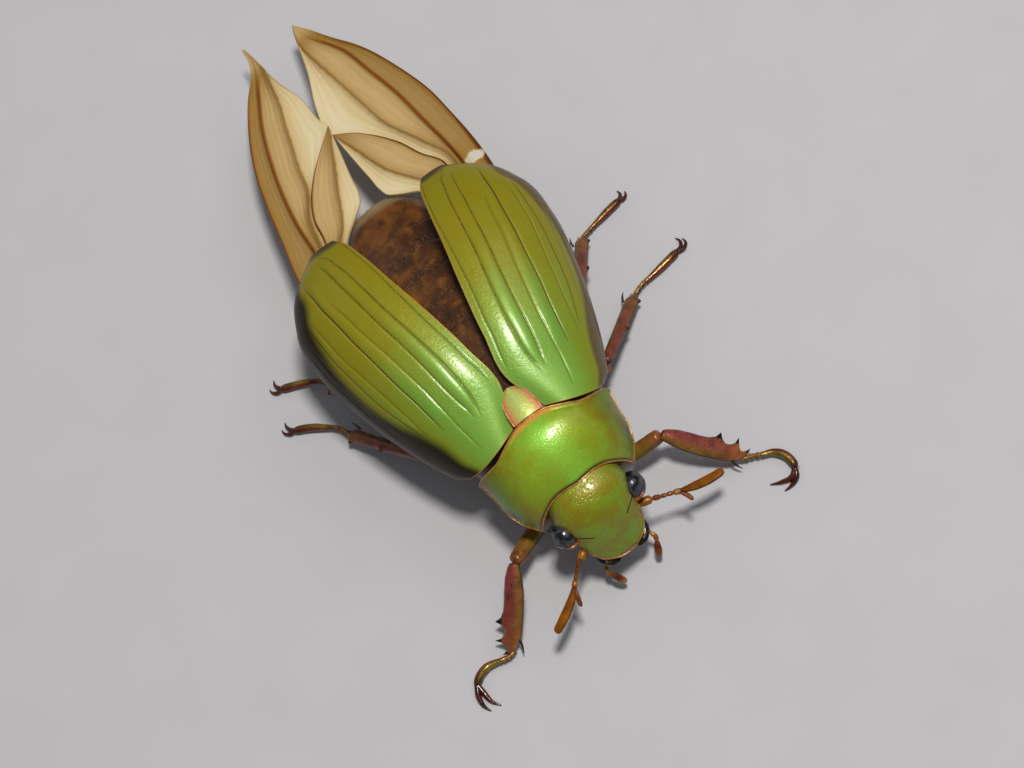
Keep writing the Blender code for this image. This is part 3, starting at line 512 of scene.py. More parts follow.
shield = {
    # share of the length, half width, side edge height, crown, underside
    "rows": [(0, 4.05, 6.5, 10, 3.6), (0.14, 4.6, 6.7, 10.8, 3.3), (0.3, 5.1, 7, 11.4, 3.1),
             (0.5, 5.45, 7.2, 11.9, 3), (0.75, 5.55, 7.6, 12.2, 3), (1, 5.8, 8, 12.1, 3.2)],
    "front": [(0, -8.14), (2.1, -7.95), (4.05, -8.4)],
    "base": [(0, -2.7), (1.2, -2.8), (2.5, -3.28), (3.8, -3.74), (4.8, -3.65), (5.8, -3.38)],
    "half": 5.8,
    "square": 2.1,
    "bead": 0.072,
    "pit": (0.36, 0.24),  # dark hollow near each side margin: share of the length and height round the side
}


def shieldPoints(share, angle):
    half, edge, crown, under = np.moveaxis(throughRows(shield["rows"], share), -1, 0)
    across = signedPower(np.cos(angle), 2 / shield["square"])
    up = signedPower(np.sin(angle), 2 / shield["square"])
    x = half * across
    z = edge + np.where(up > 0, crown - edge, edge - under) * up
    front = throughRows(shield["front"], np.abs(x))[..., 0]
    base = throughRows(shield["base"], np.abs(x))[..., 0]
    return np.stack([x, front + (base - front) * share, z], axis=-1)


def loftedBody(name, around, along, place):
    # a ball whose rings take the places of a lofted body's rings; its two poles close the ends
    piece, ring, angle, pole = newBall(name, around, along)
    share = np.clip((ring * along - 1) / (along - 2), 0, 1)
    points = place(share, angle)
    for end in (0, 1):
        nearest = ~pole & (np.abs(share - end) < 0.5 / along)
        points[pole & (np.round(share) == end)] = points[nearest].mean(axis=0)
    return piece, share, angle, points


def makeShield(material, beadMaterial):
    piece, share, angle, points = loftedBody("shield", 176, 150, shieldPoints)
    up = np.sin(angle)
    x = np.abs(points[:, 0])
    # soft dimple each side of the middle, a hollow near each margin and a shallow groove along the base
    points[:, 2] -= 0.07 * hump(x - 3.4, 0.9) * hump(share - 0.62, 0.16) * (up > 0)
    pit = hump(share - shield["pit"][0], 0.12) * hump(up - shield["pit"][1], 0.1)
    points[:, 0] *= 1 - 0.014 * pit
    points[:, 2] -= 0.05 * hump(share - 0.93, 0.02) * rise(up, 0.1, 0.3) * rise(x, 1.2, 2.0)
    writePoints(piece, points)
    mark(piece, share=share, across=x / shield["half"], up=up, pit=pit)
    tidyNormals(piece)
    dress(piece, material)
    side = np.linspace(0.01, 0.99, 30)
    back = np.linspace(0.06, math.pi - 0.06, 60)
    line = [*shieldPoints(side, np.full(30, 0.05)), *shieldPoints(np.ones(60), back),
            *shieldPoints(side[::-1], np.full(30, math.pi - 0.05)), *shieldPoints(np.zeros(60), back[::-1])]
    line.append(line[0])
    size = [(0, shield["bead"]), (1, shield["bead"])]
    bead = drawnOut("shield_bead", line, size, size, around=10, along=420, cap=0.002)
    dress(bead, beadMaterial)
    finished(joined("shield", [piece, bead]), "shield_shell", "pronotum")


scutellum = {"half": 1.2, "front": -2.62, "tip": 0.06, "top": 12.3, "dome": 0.45, "wall": 0.5, "bead": 0.075}


def scutellumEdge(along):
    wide = scutellum["half"] * np.clip(1 - along ** 2.9, 0, 1) ** 0.58 + 0.02
    return wide, scutellum["front"] + (scutellum["tip"] - scutellum["front"]) * along


def makeScutellum(material, beadMaterial):
    piece, across, along = newSheet("scutellum_plate", 60, 60)
    along = 1 - (1 - along) ** 1.6  # closer rows towards the tip
    wide, y = scutellumEdge(along)
    u = across * 2 - 1
    z = scutellum["top"] - scutellum["dome"] * (u ** 2 * 0.6 + (along - 0.45) ** 2)
    writePoints(piece, np.stack([u * wide, y, z], axis=-1))
    mark(piece, across=np.abs(u))
    addWall(piece, scutellum["wall"])
    dress(piece, material)
    steps = 1 - (1 - np.linspace(0, 1, 30)) ** 1.8
    wide, y = scutellumEdge(steps)
    z = scutellum["top"] - scutellum["dome"] * (0.6 + (steps - 0.45) ** 2)
    line = [*np.stack([wide, y, z], axis=-1), *np.stack([-wide, y, z], axis=-1)[::-1][1:]]
    size = [(0, scutellum["bead"]), (1, scutellum["bead"])]
    bead = drawnOut("scutellum_bead", line, size, size, around=8, along=120, cap=0.01)
    dress(bead, beadMaterial)
    finished(joined("scutellum_plate", [piece, bead]), "shield_shell", "scutellum")


def punctured(material, shader, size, depth, roughness, place, colour, dark, amount=0.3):
    # the fine pits that break up the shine of the shell, a little darker than its own colour
    pits = addNode(material, "TexVoronoi", {"Scale": perSize(size)}, {"Vector": place})
    pit = addNode(material, "ValToRGB", {"ramp": [(0.05, 0.0), (0.4, 1.0)]},
                  {"Fac": pits.outputs["Distance"]})
    leather = addNode(material, "TexNoise", {"Scale": perSize(size * 2.2), "Detail": 3.0}, {"Vector": place})
    height = addNode(material, "Math", {"operation": "MULTIPLY_ADD", 1: 2.2},
                     {0: leather.outputs["Fac"], 2: pit})
    bump = addNode(material, "Bump", {"Strength": 0.5, "Distance": depth * mm}, {"Height": height})
    feed(material, bump, shader, "Normal", "Coat Normal")
    shine = addNode(material, "Math", {"operation": "MULTIPLY_ADD", 1: 0.14, 2: roughness - 0.07},
                    {0: leather.outputs["Fac"]})
    feed(material, shine, shader, "Roughness")
    hollow = addNode(material, "Math", {"operation": "MULTIPLY_ADD", 1: -amount, 2: amount}, {0: pit})
    feed(material, painted(material, colour, dark, hollow), shader, "Base Color")


def shieldMaterial():
    # shield behind the head: satin green metal, finely pitted, olive at the sides and darkened towards them
    # as painted shade, copper at the base, with painted shade along its front edge
    material, shader, place, marks = newMaterial(
        "jewelGreenShield", "#84a01c", 0.16, 0.4, ("across", "share", "up", "pit"),
        coat=0.5, coatRoughness=0.18, specular=0.12)
    # olive towards the sides is its colour; the dark olive at the very sides is painted shade where they
    # turn from the light
    tone = addNode(material, "ValToRGB", {"ramp": [(0.0, "#86be38"), (0.4, "#84a01c"), (0.66, "#7b740c"),
                                                   (0.83, "#565a04"),
                                                   (1.0, "#464404")]}, {"Fac": marks["across"]})
    cloud = addNode(material, "TexNoise", {"Scale": perSize(2.0), "Detail": 5.0, "Distortion": 0.4},
                    {"Vector": place})
    patch = addNode(material, "ValToRGB", {"ramp": [(0.4, "#8a7c0c"), (0.62, "#80c03c")]},
                    {"Fac": cloud.outputs["Fac"]})
    colour = addNode(material, "Mix", {"data_type": "RGBA", 0: 0.3}, {6: tone, 7: patch}).outputs[2]
    colour = painted(material, colour, "#2c3208", marks["pit"])
    colour = painted(material, colour, "#7a4f22", marks["up"], [(0.0, 1.0), (0.05, 0.0)])
    late = addNode(material, "ValToRGB", {"ramp": [(0.9, 0.0), (0.955, 1.0)]}, {"Fac": marks["share"]})
    middle = addNode(material, "ValToRGB", {"ramp": [(0.2, 1.0), (0.42, 0.0)]}, {"Fac": marks["across"]})
    copper = addNode(material, "Math", {"operation": "MULTIPLY"}, {0: late, 1: middle})
    colour = painted(material, colour, "#cf8f3a", copper)
    # painted shade: the front edge, in the gap before the head, is painted dark brown
    colour = painted(material, colour, "#3c2c0c", marks["share"], [(0.02, 0.95), (0.05, 0.0)])
    punctured(material, shader, 0.15, 0.015, 0.42, place, colour, "#2c3a06")
    return material


def plateMaterial():
    # scutellum: paler green plate with copper towards its edges
    material, shader, place, marks = newMaterial(
        "paleGreenScutellum", "#aebc62", 0.2, 0.36, ("across",),
        coat=0.45, coatRoughness=0.2, specular=0.2)
    tone = addNode(material, "ValToRGB", {"ramp": [(0.0, "#aec268"), (0.55, "#b8b45c"), (0.8, "#d0925a"),
                                                   (1.0, "#c07440")]},
                   {"Fac": marks["across"]})
    punctured(material, shader, 0.2, 0.015, 0.4, place, tone, "#6a5a26")
    return material


head = {
    # y, half width, top, widest height, bottom
    "rows": [(-7, 2.9, 10, 7.6, 5.2), (-8.2, 3.15, 9.93, 7.2, 4.6), (-9.4, 3.2, 9.68, 6.7, 4.2),
             (-10.5, 2.75, 8.95, 6.3, 4), (-11.3, 2.45, 7.9, 5.9, 3.9), (-11.9, 2.15, 6.65, 5.4, 3.9),
             (-12.4, 1.65, 5.5, 4.9, 4), (-12.7, 0.95, 4.9, 4.6, 4.2)],
    "back": -7, "long": 5.7, "half": 3.2,
    "square": 2.3,
    "seam": (-11.75, 0.18),  # where the seam before the clypeus crosses the middle, and how it curves back
    "brow": (2.55, -9.8, 0.2),  # swelling beside each eye: x, y, height
    "eye": (3.05, -9.8, 7.15),
    "eyeSize": (0.93, 1.03, 1.1),
    "canthus": [(2.35, -10.72, 6.95), (2.9, -10.86, 7.15), (3.4, -10.74, 7.2), (3.72, -10.45, 7.2)],
}


def headPoints(y, angle, grow=0.0):
    half, top, middle, bottom = np.moveaxis(throughRows(head["rows"], y), -1, 0)
    across = signedPower(np.cos(angle), 2 / head["square"])
    up = signedPower(np.sin(angle), 2 / head["square"])
    z = middle + np.where(up > 0, top - middle + grow, middle - bottom) * up
    return np.stack([(half + grow) * across, y + 0 * angle, z], axis=-1)


def makeHead(material, rimMaterial, canthusMaterial):
    piece, _, angle, points = loftedBody(
        "head_shell", 160, 220, lambda s, a: headPoints(head["back"] - head["long"] * (1 - (1 - s) ** 1.25),
                                                        a))
    up = np.sin(angle)
    x, y = np.abs(points[:, 0]), points[:, 1]
    middle, curve = head["seam"]
    seam = hump(y - middle - curve * x ** 2, 0.045) * (up > 0.05)
    seam *= (0.12 + 0.88 * rise(x, 1.15, 1.6)) * (1 - rise(x, 2.6, 2.75))
    browX, browY, browHigh = head["brow"]
    brow = browHigh * hump(x - browX, 0.5) * hump(y - browY, 1.1) * (up > 0)
    swell = 0.1 * hump(x, 1.2) * hump(y + 12.1, 0.4) * (up > 0)
    points[:, 2] += brow - 0.06 * seam - swell * 0.5
    mark(piece, seam=seam, forward=np.clip((head["back"] - y) / head["long"], 0, 1), across=x / head["half"],
         up=up)
    writePoints(piece, points)
    tidyNormals(piece)
    dress(piece, material)
    ys = np.linspace(-11.0, -12.68, 26)
    left = headPoints(ys, np.full(26, 0.12), 0.02)
    right = headPoints(ys[::-1], np.full(26, math.pi - 0.12), 0.02)
    size = [(0, 0.03), (0.1, 0.07), (0.9, 0.07), (1, 0.03)]
    rim = drawnOut("clypeus_rim", [*left, *right], size, size, around=8, along=120, cap=0.01)
    dress(rim, rimMaterial)
    bars = []
    for sign in (1, -1):
        line = [(sign * a, b, c) for a, b, c in head["canthus"]]
        bar = drawnOut("canthus", line, [(0, 0.14), (0.5, 0.15), (1, 0.05)],
                       [(0, 0.14), (0.6, 0.14), (1, 0.06)],
                       around=12, along=30)
        bars.append(dress(bar, canthusMaterial))
    finished(joined("head_shell", [piece, rim, *bars]), "head_shell", "head")


def makeEye(side, material):
    sign = 1 if side == "left" else -1
    eye = newBall("eye_ball_" + side, 96, 64)[0]
    writePoints(eye, np.array(head["eye"]) * (sign, 1, 1) + readPoints(eye) * head["eyeSize"])
    tidyNormals(eye)
    dress(eye, material)
    finished(eye, "eye", "eye_" + side)


def headMaterial():
    # head shell: satin metal, browner than the shield, greener at the clypeus, with a dark seam before it
    material, shader, place, marks = newMaterial(
        "oliveGreenHead", "#7f8014", 0.16, 0.4, ("across", "seam", "up", "forward"),
        coat=0.6, coatRoughness=0.2, specular=0.12)
    tone = addNode(material, "ValToRGB", {"ramp": [(0.0, "#8a861a"), (0.45, "#7f8014"), (0.62, "#767f14"),
                                                   (1.0, "#6f7812")]},
                   {"Fac": marks["forward"]})
    colour = painted(material, tone, "#6f5c14", marks["across"], [(0.45, 0.0), (1.0, 0.8)])
    cloud = addNode(material, "TexNoise", {"Scale": perSize(1.3), "Detail": 5.0, "Distortion": 0.5},
                    {"Vector": place})
    patch = addNode(material, "ValToRGB", {"ramp": [(0.4, "#8a720c"), (0.62, "#74a828")]},
                    {"Fac": cloud.outputs["Fac"]})
    colour = addNode(material, "Mix", {"data_type": "RGBA", 0: 0.35}, {6: colour, 7: patch}).outputs[2]
    colour = painted(material, colour, "#5d3c1a", marks["up"], [(0.0, 1.0), (0.1, 0.0)])
    colour = painted(material, colour, "#221a06", marks["seam"], [(0.3, 0.0), (0.75, 1.0)])
    punctured(material, shader, 0.2, 0.036, 0.42, place, colour, "#2e2c06")
    return material


def eyeMaterial():
    # compound eye: glossy black lens cells, 0.09 mm wide, about three times life, with grey-blue sheen
    # painted into the colour as painted reflection
    material, shader, place, _ = newMaterial("compoundEye", "#101214", 0.0, 0.26, coat=0.35,
                                             coatRoughness=0.12)
    cloud = addNode(material, "TexNoise", {"Scale": perSize(0.55), "Detail": 2.0, "Distortion": 1.0},
                    {"Vector": place})
    # painted reflection: grey-blue patches mixed into the black
    tone = addNode(material, "ValToRGB", {"ramp": [(0.48, "#050506"), (0.62, "#333a42")]},
                   {"Fac": cloud.outputs["Fac"]})
    feed(material, tone, shader, "Base Color")
    cells = addNode(material, "TexVoronoi", {"Scale": perSize(0.09)}, {"Vector": place})
    bump = addNode(material, "Bump", {"Strength": 0.25, "Distance": 0.02 * mm, "invert": True},
                   {"Height": cells})
    feed(material, bump, shader, "Normal", "Coat Normal")
    return material


def chitinMaterial(name, dark, pale, metallic, roughness, grain=0.35, coat=0.22, depth=0.02):
    # plain chitin, moulded smooth, in two tones that drift into each other
    material, shader, place, _ = newMaterial(
        name, pale, metallic, roughness,
        coat=coat, coatRoughness=0.16, specular=0.3)
    cloud = addNode(material, "TexNoise", {"Scale": perSize(grain * 3), "Detail": 4.0, "Distortion": 0.6},
                    {"Vector": place})
    tone = addNode(material, "ValToRGB", {"ramp": [(0.35, dark), (0.65, pale)]},
                   {"Fac": cloud.outputs["Fac"]})
    punctured(material, shader, grain, depth, roughness, place, tone, "#0c0704")
    return material


def jointedMaterial(name, tones, roughness, coat=0.25, specular=0.2):
    # feelers and palps: clear amber chitin over dark joints, from root to tip
    material, shader, place, marks = newMaterial(
        name, tones[0][1], 0.05, roughness, ("along",),
        coat=coat, coatRoughness=0.16, specular=specular)
    cloud = addNode(material, "TexNoise", {"Scale": perSize(0.6), "Detail": 4.0}, {"Vector": place})
    drift = addNode(material, "Math", {"operation": "MULTIPLY_ADD", 1: 0.06},
                    {0: cloud.outputs["Fac"], 2: marks["along"]})
    tone = addNode(material, "ValToRGB", {"ramp": tones}, {"Fac": drift})
    shade = addNode(material, "ValToRGB", {"ramp": [(0.35, "#b0b0b0"), (0.65, "#ffffff")]},
                    {"Fac": cloud.outputs["Fac"]})
    tone = addNode(material, "Mix", {"data_type": "RGBA", "blend_type": "MULTIPLY", 0: 0.8},
                   {6: tone, 7: shade})
    punctured(material, shader, 0.16, 0.02, roughness, place, tone.outputs[2], "#2c1204")
    return material


feeler = {
    "left": {"stalk": [(2.3, -10.7, 5.6), (3.2, -10.95, 5.7), (3.7, -11.1, 5.6), (4.26, -11.27, 5.4),
                       (4.97, -11.51, 5.3), (5.63, -11.77, 5.2)],
             "long": [(5.45, -11.7, 5.2), (6.6, -12.07, 5.15), (7.76, -12.3, 5.1), (8.94, -12.36, 5.0)],
             "short": [(5.45, -11.75, 5.15), (5.75, -12.2, 5.0), (5.94, -12.75, 4.8)]},
    "right": {"stalk": [(-2.3, -10.8, 5.6), (-2.94, -11.34, 5.7), (-3.35, -11.5, 5.6), (-3.88, -11.93, 5.4),
                        (-4.35, -12.37, 5.3), (-4.75, -12.75, 5.2)],
              "long": [(-4.65, -12.65, 5.2), (-5.56, -13.42, 5.15), (-6.7, -14.1, 5.1), (-7.75, -14.6, 5.0)],
              "short": [(-4.7, -12.7, 5.15), (-4.95, -13.3, 5.0), (-5.16, -14.07, 4.7)]},
    # share and radius: a stout first joint, then a chain of small ones
    "beads": [(0, 0.16), (0.06, 0.24), (0.2, 0.34), (0.33, 0.33), (0.38, 0.12), (0.44, 0.22), (0.53, 0.19),
              (0.56, 0.11), (0.6, 0.17), (0.66, 0.16), (0.69, 0.11), (0.73, 0.17), (0.79, 0.17),
              (0.82, 0.12), (0.86, 0.22), (0.95, 0.24), (1, 0.2)],
    "blade": [(0, 0.12), (0.12, 0.2), (0.35, 0.31), (0.65, 0.34), (0.9, 0.3), (1, 0.22)],
    "leaf": [(0, 0.12), (0.5, 0.19), (0.85, 0.17), (1, 0.1)],
}


def makeFeeler(side, stalkMaterial, bladeMaterial, leafMaterial):
    shape = feeler[side]
    stalk = drawnOut("feeler_" + side, shape["stalk"], feeler["beads"], feeler["beads"], around=16,
                     along=130, cap=0.03)
    pieces = [dress(stalk, stalkMaterial)]
    # the club has three leaves: two lie shut on each other and the third stands off
    for lift in (0.1, -0.1):
        line = [(x, y, z + lift) for x, y, z in shape["long"]]
        blade = drawnOut("blade", line, feeler["blade"], [(0, 0.09), (1, 0.09)], around=20, along=60,
                         cap=0.05)
        pieces.append(dress(blade, bladeMaterial))
    leaf = drawnOut("leaf", shape["short"], feeler["leaf"], [(0, 0.12), (1, 0.08)], around=14, along=30,
                    cap=0.1)
    pieces.append(dress(leaf, leafMaterial))
    finished(joined("feeler_" + side, pieces), "feeler", "antenna_" + side)


mouth = {
    "palp": [(1, -10.5, 3.5), (1.55, -11.3, 2.85), (1.95, -12, 2.75), (2.15, -12.5, 2.5), (1.95, -12.9, 2.1),
             (1.5, -13.6, 1.3)],
    "palpSize": [(0, 0.18), (0.2, 0.2), (0.27, 0.12), (0.33, 0.18), (0.47, 0.2), (0.5, 0.12), (0.54, 0.17),
                 (0.64, 0.2), (0.67, 0.13), (0.73, 0.22), (0.85, 0.29), (0.95, 0.25), (1, 0.14)],
    "jaw": [(1.9, -11.3, 4), (1.85, -11.8, 3.9), (1.5, -12.35, 3.85), (0.75, -12.7, 3.8)],
    "jawWide": [(0, 0.38), (0.35, 0.43), (0.7, 0.38), (1, 0.16)],
    "jawDeep": [(0, 0.33), (0.35, 0.3), (0.7, 0.26), (1, 0.13)],
}


def makeMouth(side, palpMaterial, jawMaterial):
    sign = 1 if side == "left" else -1
    palpLine = [(sign * x, y, z) for x, y, z in mouth["palp"]]
    palp = drawnOut("palp_joints_" + side, palpLine, mouth["palpSize"], mouth["palpSize"], around=16,
                    along=90, cap=0.03)
    finished(dress(palp, palpMaterial), "jaw", "palp_" + side)
    jawLine = [(sign * x, y, z) for x, y, z in mouth["jaw"]]
    jaw = drawnOut("jaw_" + side, jawLine, mouth["jawWide"], mouth["jawDeep"], around=20, along=40)
    finished(dress(jaw, jawMaterial), "jaw", "mandible_" + side)


beadCopper = chitinMaterial("copperMargin", "#8f5a24", "#c6924a", 0.4, 0.34, grain=0.3)
makeShield(shieldMaterial(), beadCopper)
makeScutellum(plateMaterial(), chitinMaterial("pinkCopperEdge", "#b06a4a", "#dca884", 0.4, 0.3, grain=0.3))
makeHead(headMaterial(), beadCopper, chitinMaterial("orangeCanthus", "#5c2c10", "#a8622c", 0.1, 0.32,
                                                    grain=0.2))
amberStalk = jointedMaterial("amberFeelerStalk", [(0.0, "#b47a24"), (0.36, "#9a5a14"), (0.44, "#7a3c0c"),
                                                  (0.84, "#7c400e"),
                                                  (0.92, "#b07c2c"), (1.0, "#8f500f")], 0.32)
amberBlade = jointedMaterial("amberFeelerClub", [(0.0, "#683404"), (0.3, "#7e4606"), (1.0, "#884e08")], 0.6,
                             coat=0.02,
                             specular=0.05)
redLeaf = chitinMaterial("redBrownLeaf", "#3c1606", "#8a4414", 0.0, 0.35, grain=0.4)
redBrown = jointedMaterial("redBrownPalp", [(0.0, "#8a5a1c"), (0.5, "#a87428"), (0.68, "#8a4a14"),
                                            (0.8, "#5a1c08"),
                                            (1.0, "#a8682c")], 0.28)
blackChitin = chitinMaterial("blackJaw", "#080605", "#181008", 0.0, 0.24, grain=0.3, coat=0.5)
eyeFinish = eyeMaterial()
for side in ("left", "right"):
    makeEye(side, eyeFinish)
    makeFeeler(side, amberStalk, amberBlade, redLeaf)
    makeMouth(side, redBrown, blackChitin)
print("head, shield and scutellum made")

leg = {
    "front_left": {
        "coxa": (2.2, -6.1, 2.9), "thigh": (4.6, -6.7, 3.2), "knee": (6.9, -7.1, 4.2),
        "ankle": (10.6, -11.2, 1.2),
        "foot": [(10.75, -11.32, 0.95), (11.46, -11.6, 0.8), (12, -11.88, 0.7), (12.75, -12.2, 0.6),
                 (13.3, -12.88, 0.55), (13.45, -13.6, 0.5), (13.38, -14.15, 0.45)],
        "claws": [[(13.35, -14.1), (13, -14.7), (12.3, -14.97), (11.67, -14.97)],
                  [(13.35, -14.1), (12.75, -14.5), (11.9, -14.3), (11.1, -13.9)]]},
    "front_right": {
        "coxa": (-2.2, -6.1, 2.9), "thigh": (-4.6, -6.9, 3.2), "knee": (-7.2, -8.2, 4.2),
        "ankle": (-11, -12.4, 1.2),
        "foot": [(-11.1, -12.5, 0.95), (-11.5, -12.62, 0.85), (-12.13, -12.5, 0.7), (-12.55, -12.37, 0.65),
                 (-13.38, -12.18, 0.6), (-14.21, -12.37, 0.55), (-14.85, -12.8, 0.45)],
        "claws": [[(-14.8, -12.75), (-15.25, -13.6), (-15.31, -14.34), (-15.1, -14.93)],
                  [(-14.8, -12.75), (-14.75, -13.6), (-14.65, -14.4), (-14.25, -15.03)]]},
    "middle_left": {
        "coxa": (2.2, 1, 2), "thigh": (4.6, 0.6, 2.6), "knee": (6.9, -0.25, 4.5),
        "ankle": (11.6, 3.7, 1.3),
        "foot": [(11.8, 3.9, 1), (12.71, 4.3, 0.8), (13.7, 4.42, 0.7), (14.76, 4.58, 0.6),
                 (15.82, 4.75, 0.55), (16.4, 4.85, 0.45)],
        "claws": [[(16.35, 4.85), (16.8, 5.05), (17.0, 5.5), (16.85, 5.95)],
                  [(16.35, 4.8), (16.95, 4.8), (17.3, 5.15), (17.25, 5.6)]]},
    "middle_right": {
        "coxa": (-2.2, 1, 2), "thigh": (-4.9, 1.6, 2.7), "knee": (-7.9, 2.5, 4.3),
        "ankle": (-11.5, 8.55, 1.3),
        "foot": [(-11.58, 8.8, 1), (-11.9, 9.65, 0.8), (-12.74, 10.5, 0.7), (-13.68, 11.24, 0.6),
                 (-14.52, 11.72, 0.5), (-14.8, 11.85, 0.45)],
        "claws": [[(-14.75, 11.8), (-15.2, 11.9), (-15.5, 12.2), (-15.55, 12.65)],
                  [(-14.7, 11.85), (-15.0, 12.2), (-15.1, 12.6), (-15.0, 13)]]},
    "hind_left": {
        "coxa": (2.5, 4.9, 2), "thigh": (5.4, 4.8, 2.8), "knee": (8, 4.5, 4.8),
        "ankle": (11.2, 9.9, 1.3),
        "foot": [(11.3, 10.05, 1), (12.26, 10.35, 0.8), (13.27, 10.58, 0.65), (14.44, 10.8, 0.55),
                 (15.3, 10.93, 0.45)],
        "claws": [[(15.25, 10.9), (15.65, 10.88), (15.95, 11.08), (16.05, 11.42)],
                  [(15.25, 10.95), (15.5, 11.15), (15.65, 11.45), (15.6, 11.8)]]},
    "hind_right": {
        "coxa": (-2.5, 4.9, 2), "thigh": (-5.4, 5.7, 2.8), "knee": (-8.1, 6.7, 4.7),
        "ankle": (-10.5, 12.6, 1.3),
        "foot": [(-10.53, 12.85, 1), (-11, 13.7, 0.75), (-12, 14.4, 0.6), (-13.1, 14.93, 0.5),
                 (-13.75, 15.2, 0.45)],
        "claws": [[(-13.7, 15.15), (-14.15, 15.2), (-14.45, 15.5), (-14.5, 15.9)],
                  [(-13.65, 15.2), (-13.9, 15.55), (-13.95, 15.95), (-13.8, 16.3)]]},
}
legShape = {
    "femur": [(0, 0.6), (0.15, 0.8), (0.35, 0.98), (0.6, 1), (0.85, 0.95), (0.95, 0.88), (1, 0.8)],
    # shin: share of knee to ankle, reach of the outer edge with its teeth, and of the inner edge, mm
    "front": [(0, 0.34, 0.34), (0.05, 0.5, 0.42), (0.11, 0.6, 0.49), (0.19, 0.71, 0.62), (0.33, 0.75, 0.72),
              (0.47, 0.75, 0.74), (0.57, 0.8, 0.73), (0.66, 1.0, 0.69), (0.71, 1.42, 0.67),
              (0.74, 0.98, 0.66), (0.78, 0.72, 0.65), (0.82, 0.68, 0.63), (0.87, 0.78, 0.57),
              (0.905, 0.95, 0.48), (0.935, 1.4, 0.4), (0.95, 0.85, 0.36), (0.98, 0.5, 0.24),
              (1.015, 0.48, 0.1), (1.05, 0.58, -0.15), (1.08, 0.72, -0.42), (1.1, 0.88, -0.8)],
    "side": [(0, 0.34, 0.34), (0.06, 0.42, 0.4), (0.3, 0.46, 0.44), (0.5, 0.5, 0.46), (0.55, 0.66, 0.46),
             (0.58, 0.49, 0.47), (0.8, 0.52, 0.5), (0.93, 0.55, 0.52), (0.97, 0.7, 0.42), (0.99, 0.45, 0.34),
             (1.0, 0.26, 0.26)],
    "drawn": {"front": {"along": 200, "cap": 0.02, "edge": 0.8, "black": 0.945},
              "side": {"along": 120, "cap": 0.04, "edge": 0.5}},
    "clawHeights": (0.45, 0.3, 0.17, 0.09),
    "claw": [(0, 0.22), (0.3, 0.23), (0.6, 0.18), (0.8, 0.11), (1, 0.035)],
    # five foot joints: start, end, radius at the start, the middle and the end; other feet are slimmer
    "footJoints": [(0, 0.1, 0.14, 0.17, 0.22), (0.09, 0.185, 0.13, 0.17, 0.22),
                   (0.175, 0.27, 0.13, 0.17, 0.22), (0.26, 0.355, 0.13, 0.18, 0.24),
                   (0.34, 1.0, 0.17, 0.32, 0.33)],
    "slimFoot": 0.92,
    "slimClaw": 0.72,
    # what the left and the right leg of a pair share
    "pairs": {"front": {"coxaSize": (1.4, 1.1, 1.1), "femur": (0.6, 0.64), "shin": "front"},
              "middle": {"coxaSize": (1.6, 1.2, 0.95), "femur": (0.7, 0.8), "shin": "side"},
              "hind": {"coxaSize": (2.2, 1.2, 0.95), "femur": (0.8, 0.95), "shin": "side"}},
}
hair = {"thick": 0.009, "leg": 34, "under": 900, "shoulder": 110,
        "mouth": 110}  # half thickness in mm and counts
fringes = {"roots": [], "aims": [], "lengths": [], "spots": []}


def addFringe(roots, aims, lengths, spots):
    for name, values in zip(("roots", "aims", "lengths", "spots"), (roots, aims, lengths, spots)):
        fringes[name].append(values)


def makeFoot(place, shape, ahead, outward, finish):
    joints = []
    front = shape["shin"] == "front"
    slim = 1.0 if front else legShape["slimFoot"]
    path = [np.array(shape["ankle"]) - ahead * 0.15, *shape["foot"]]
    for start, end, *sizes in legShape["footJoints"]:
        line = alongPath(path, np.linspace(start, end, 9))
        long = end - start > 0.3
        sizes = [(s, r * slim) for s, r in zip((0, 0.5, 0.88), sizes)] + [(1, sizes[2] * 0.75 * slim)]
        fine = {"along": 60, "cap": 0.05} if long else {"along": 16, "cap": 0.15}
        joint = drawnOut("joint", line, sizes, [(s, r * 0.9) for s, r in sizes], around=18, toward=-outward,
                         **fine)
        joints.append(dress(joint, finish["footLong" if long else "foot"]))
        # a small black spine under the end of each joint
        for sign in (1, -1):
            tip, beyond = alongPath(path, [end, min(end + 0.05, 1)])
            onward = beyond - tip + 1e-6
            away = unit(np.cross(onward, (0, 0, 1))) * sign * 0.3 * slim + unit(onward) * 0.18
            root = tip - (0, 0, 0.05)
            size = [(0, 0.05), (1, 0.015)]
            spine = drawnOut("spine", [root, root + away * 0.6, root + away - (0, 0, 0.12)], size, size,
                             around=6, along=8)
            joints.append(dress(spine, finish["tooth"]))
    for claw in shape["claws"]:
        line = [(x, y, z) for (x, y), z in zip(claw, legShape["clawHeights"])]
        size = [(s, r * (1.0 if front else legShape["slimClaw"])) for s, r in legShape["claw"]]
        hook = drawnOut("claw", line, size, size, around=14, along=40, cap=0.02)
        points = readPoints(hook)
        points[:, 2] = np.maximum(points[:, 2], 0)
        hook.data.vertices.foreach_set("co", points.astype(np.float32).ravel())
        joints.append(dress(hook, finish["claw"]))
    finished(joined("foot_" + place, joints), "leg_foot", "tarsus_" + place)


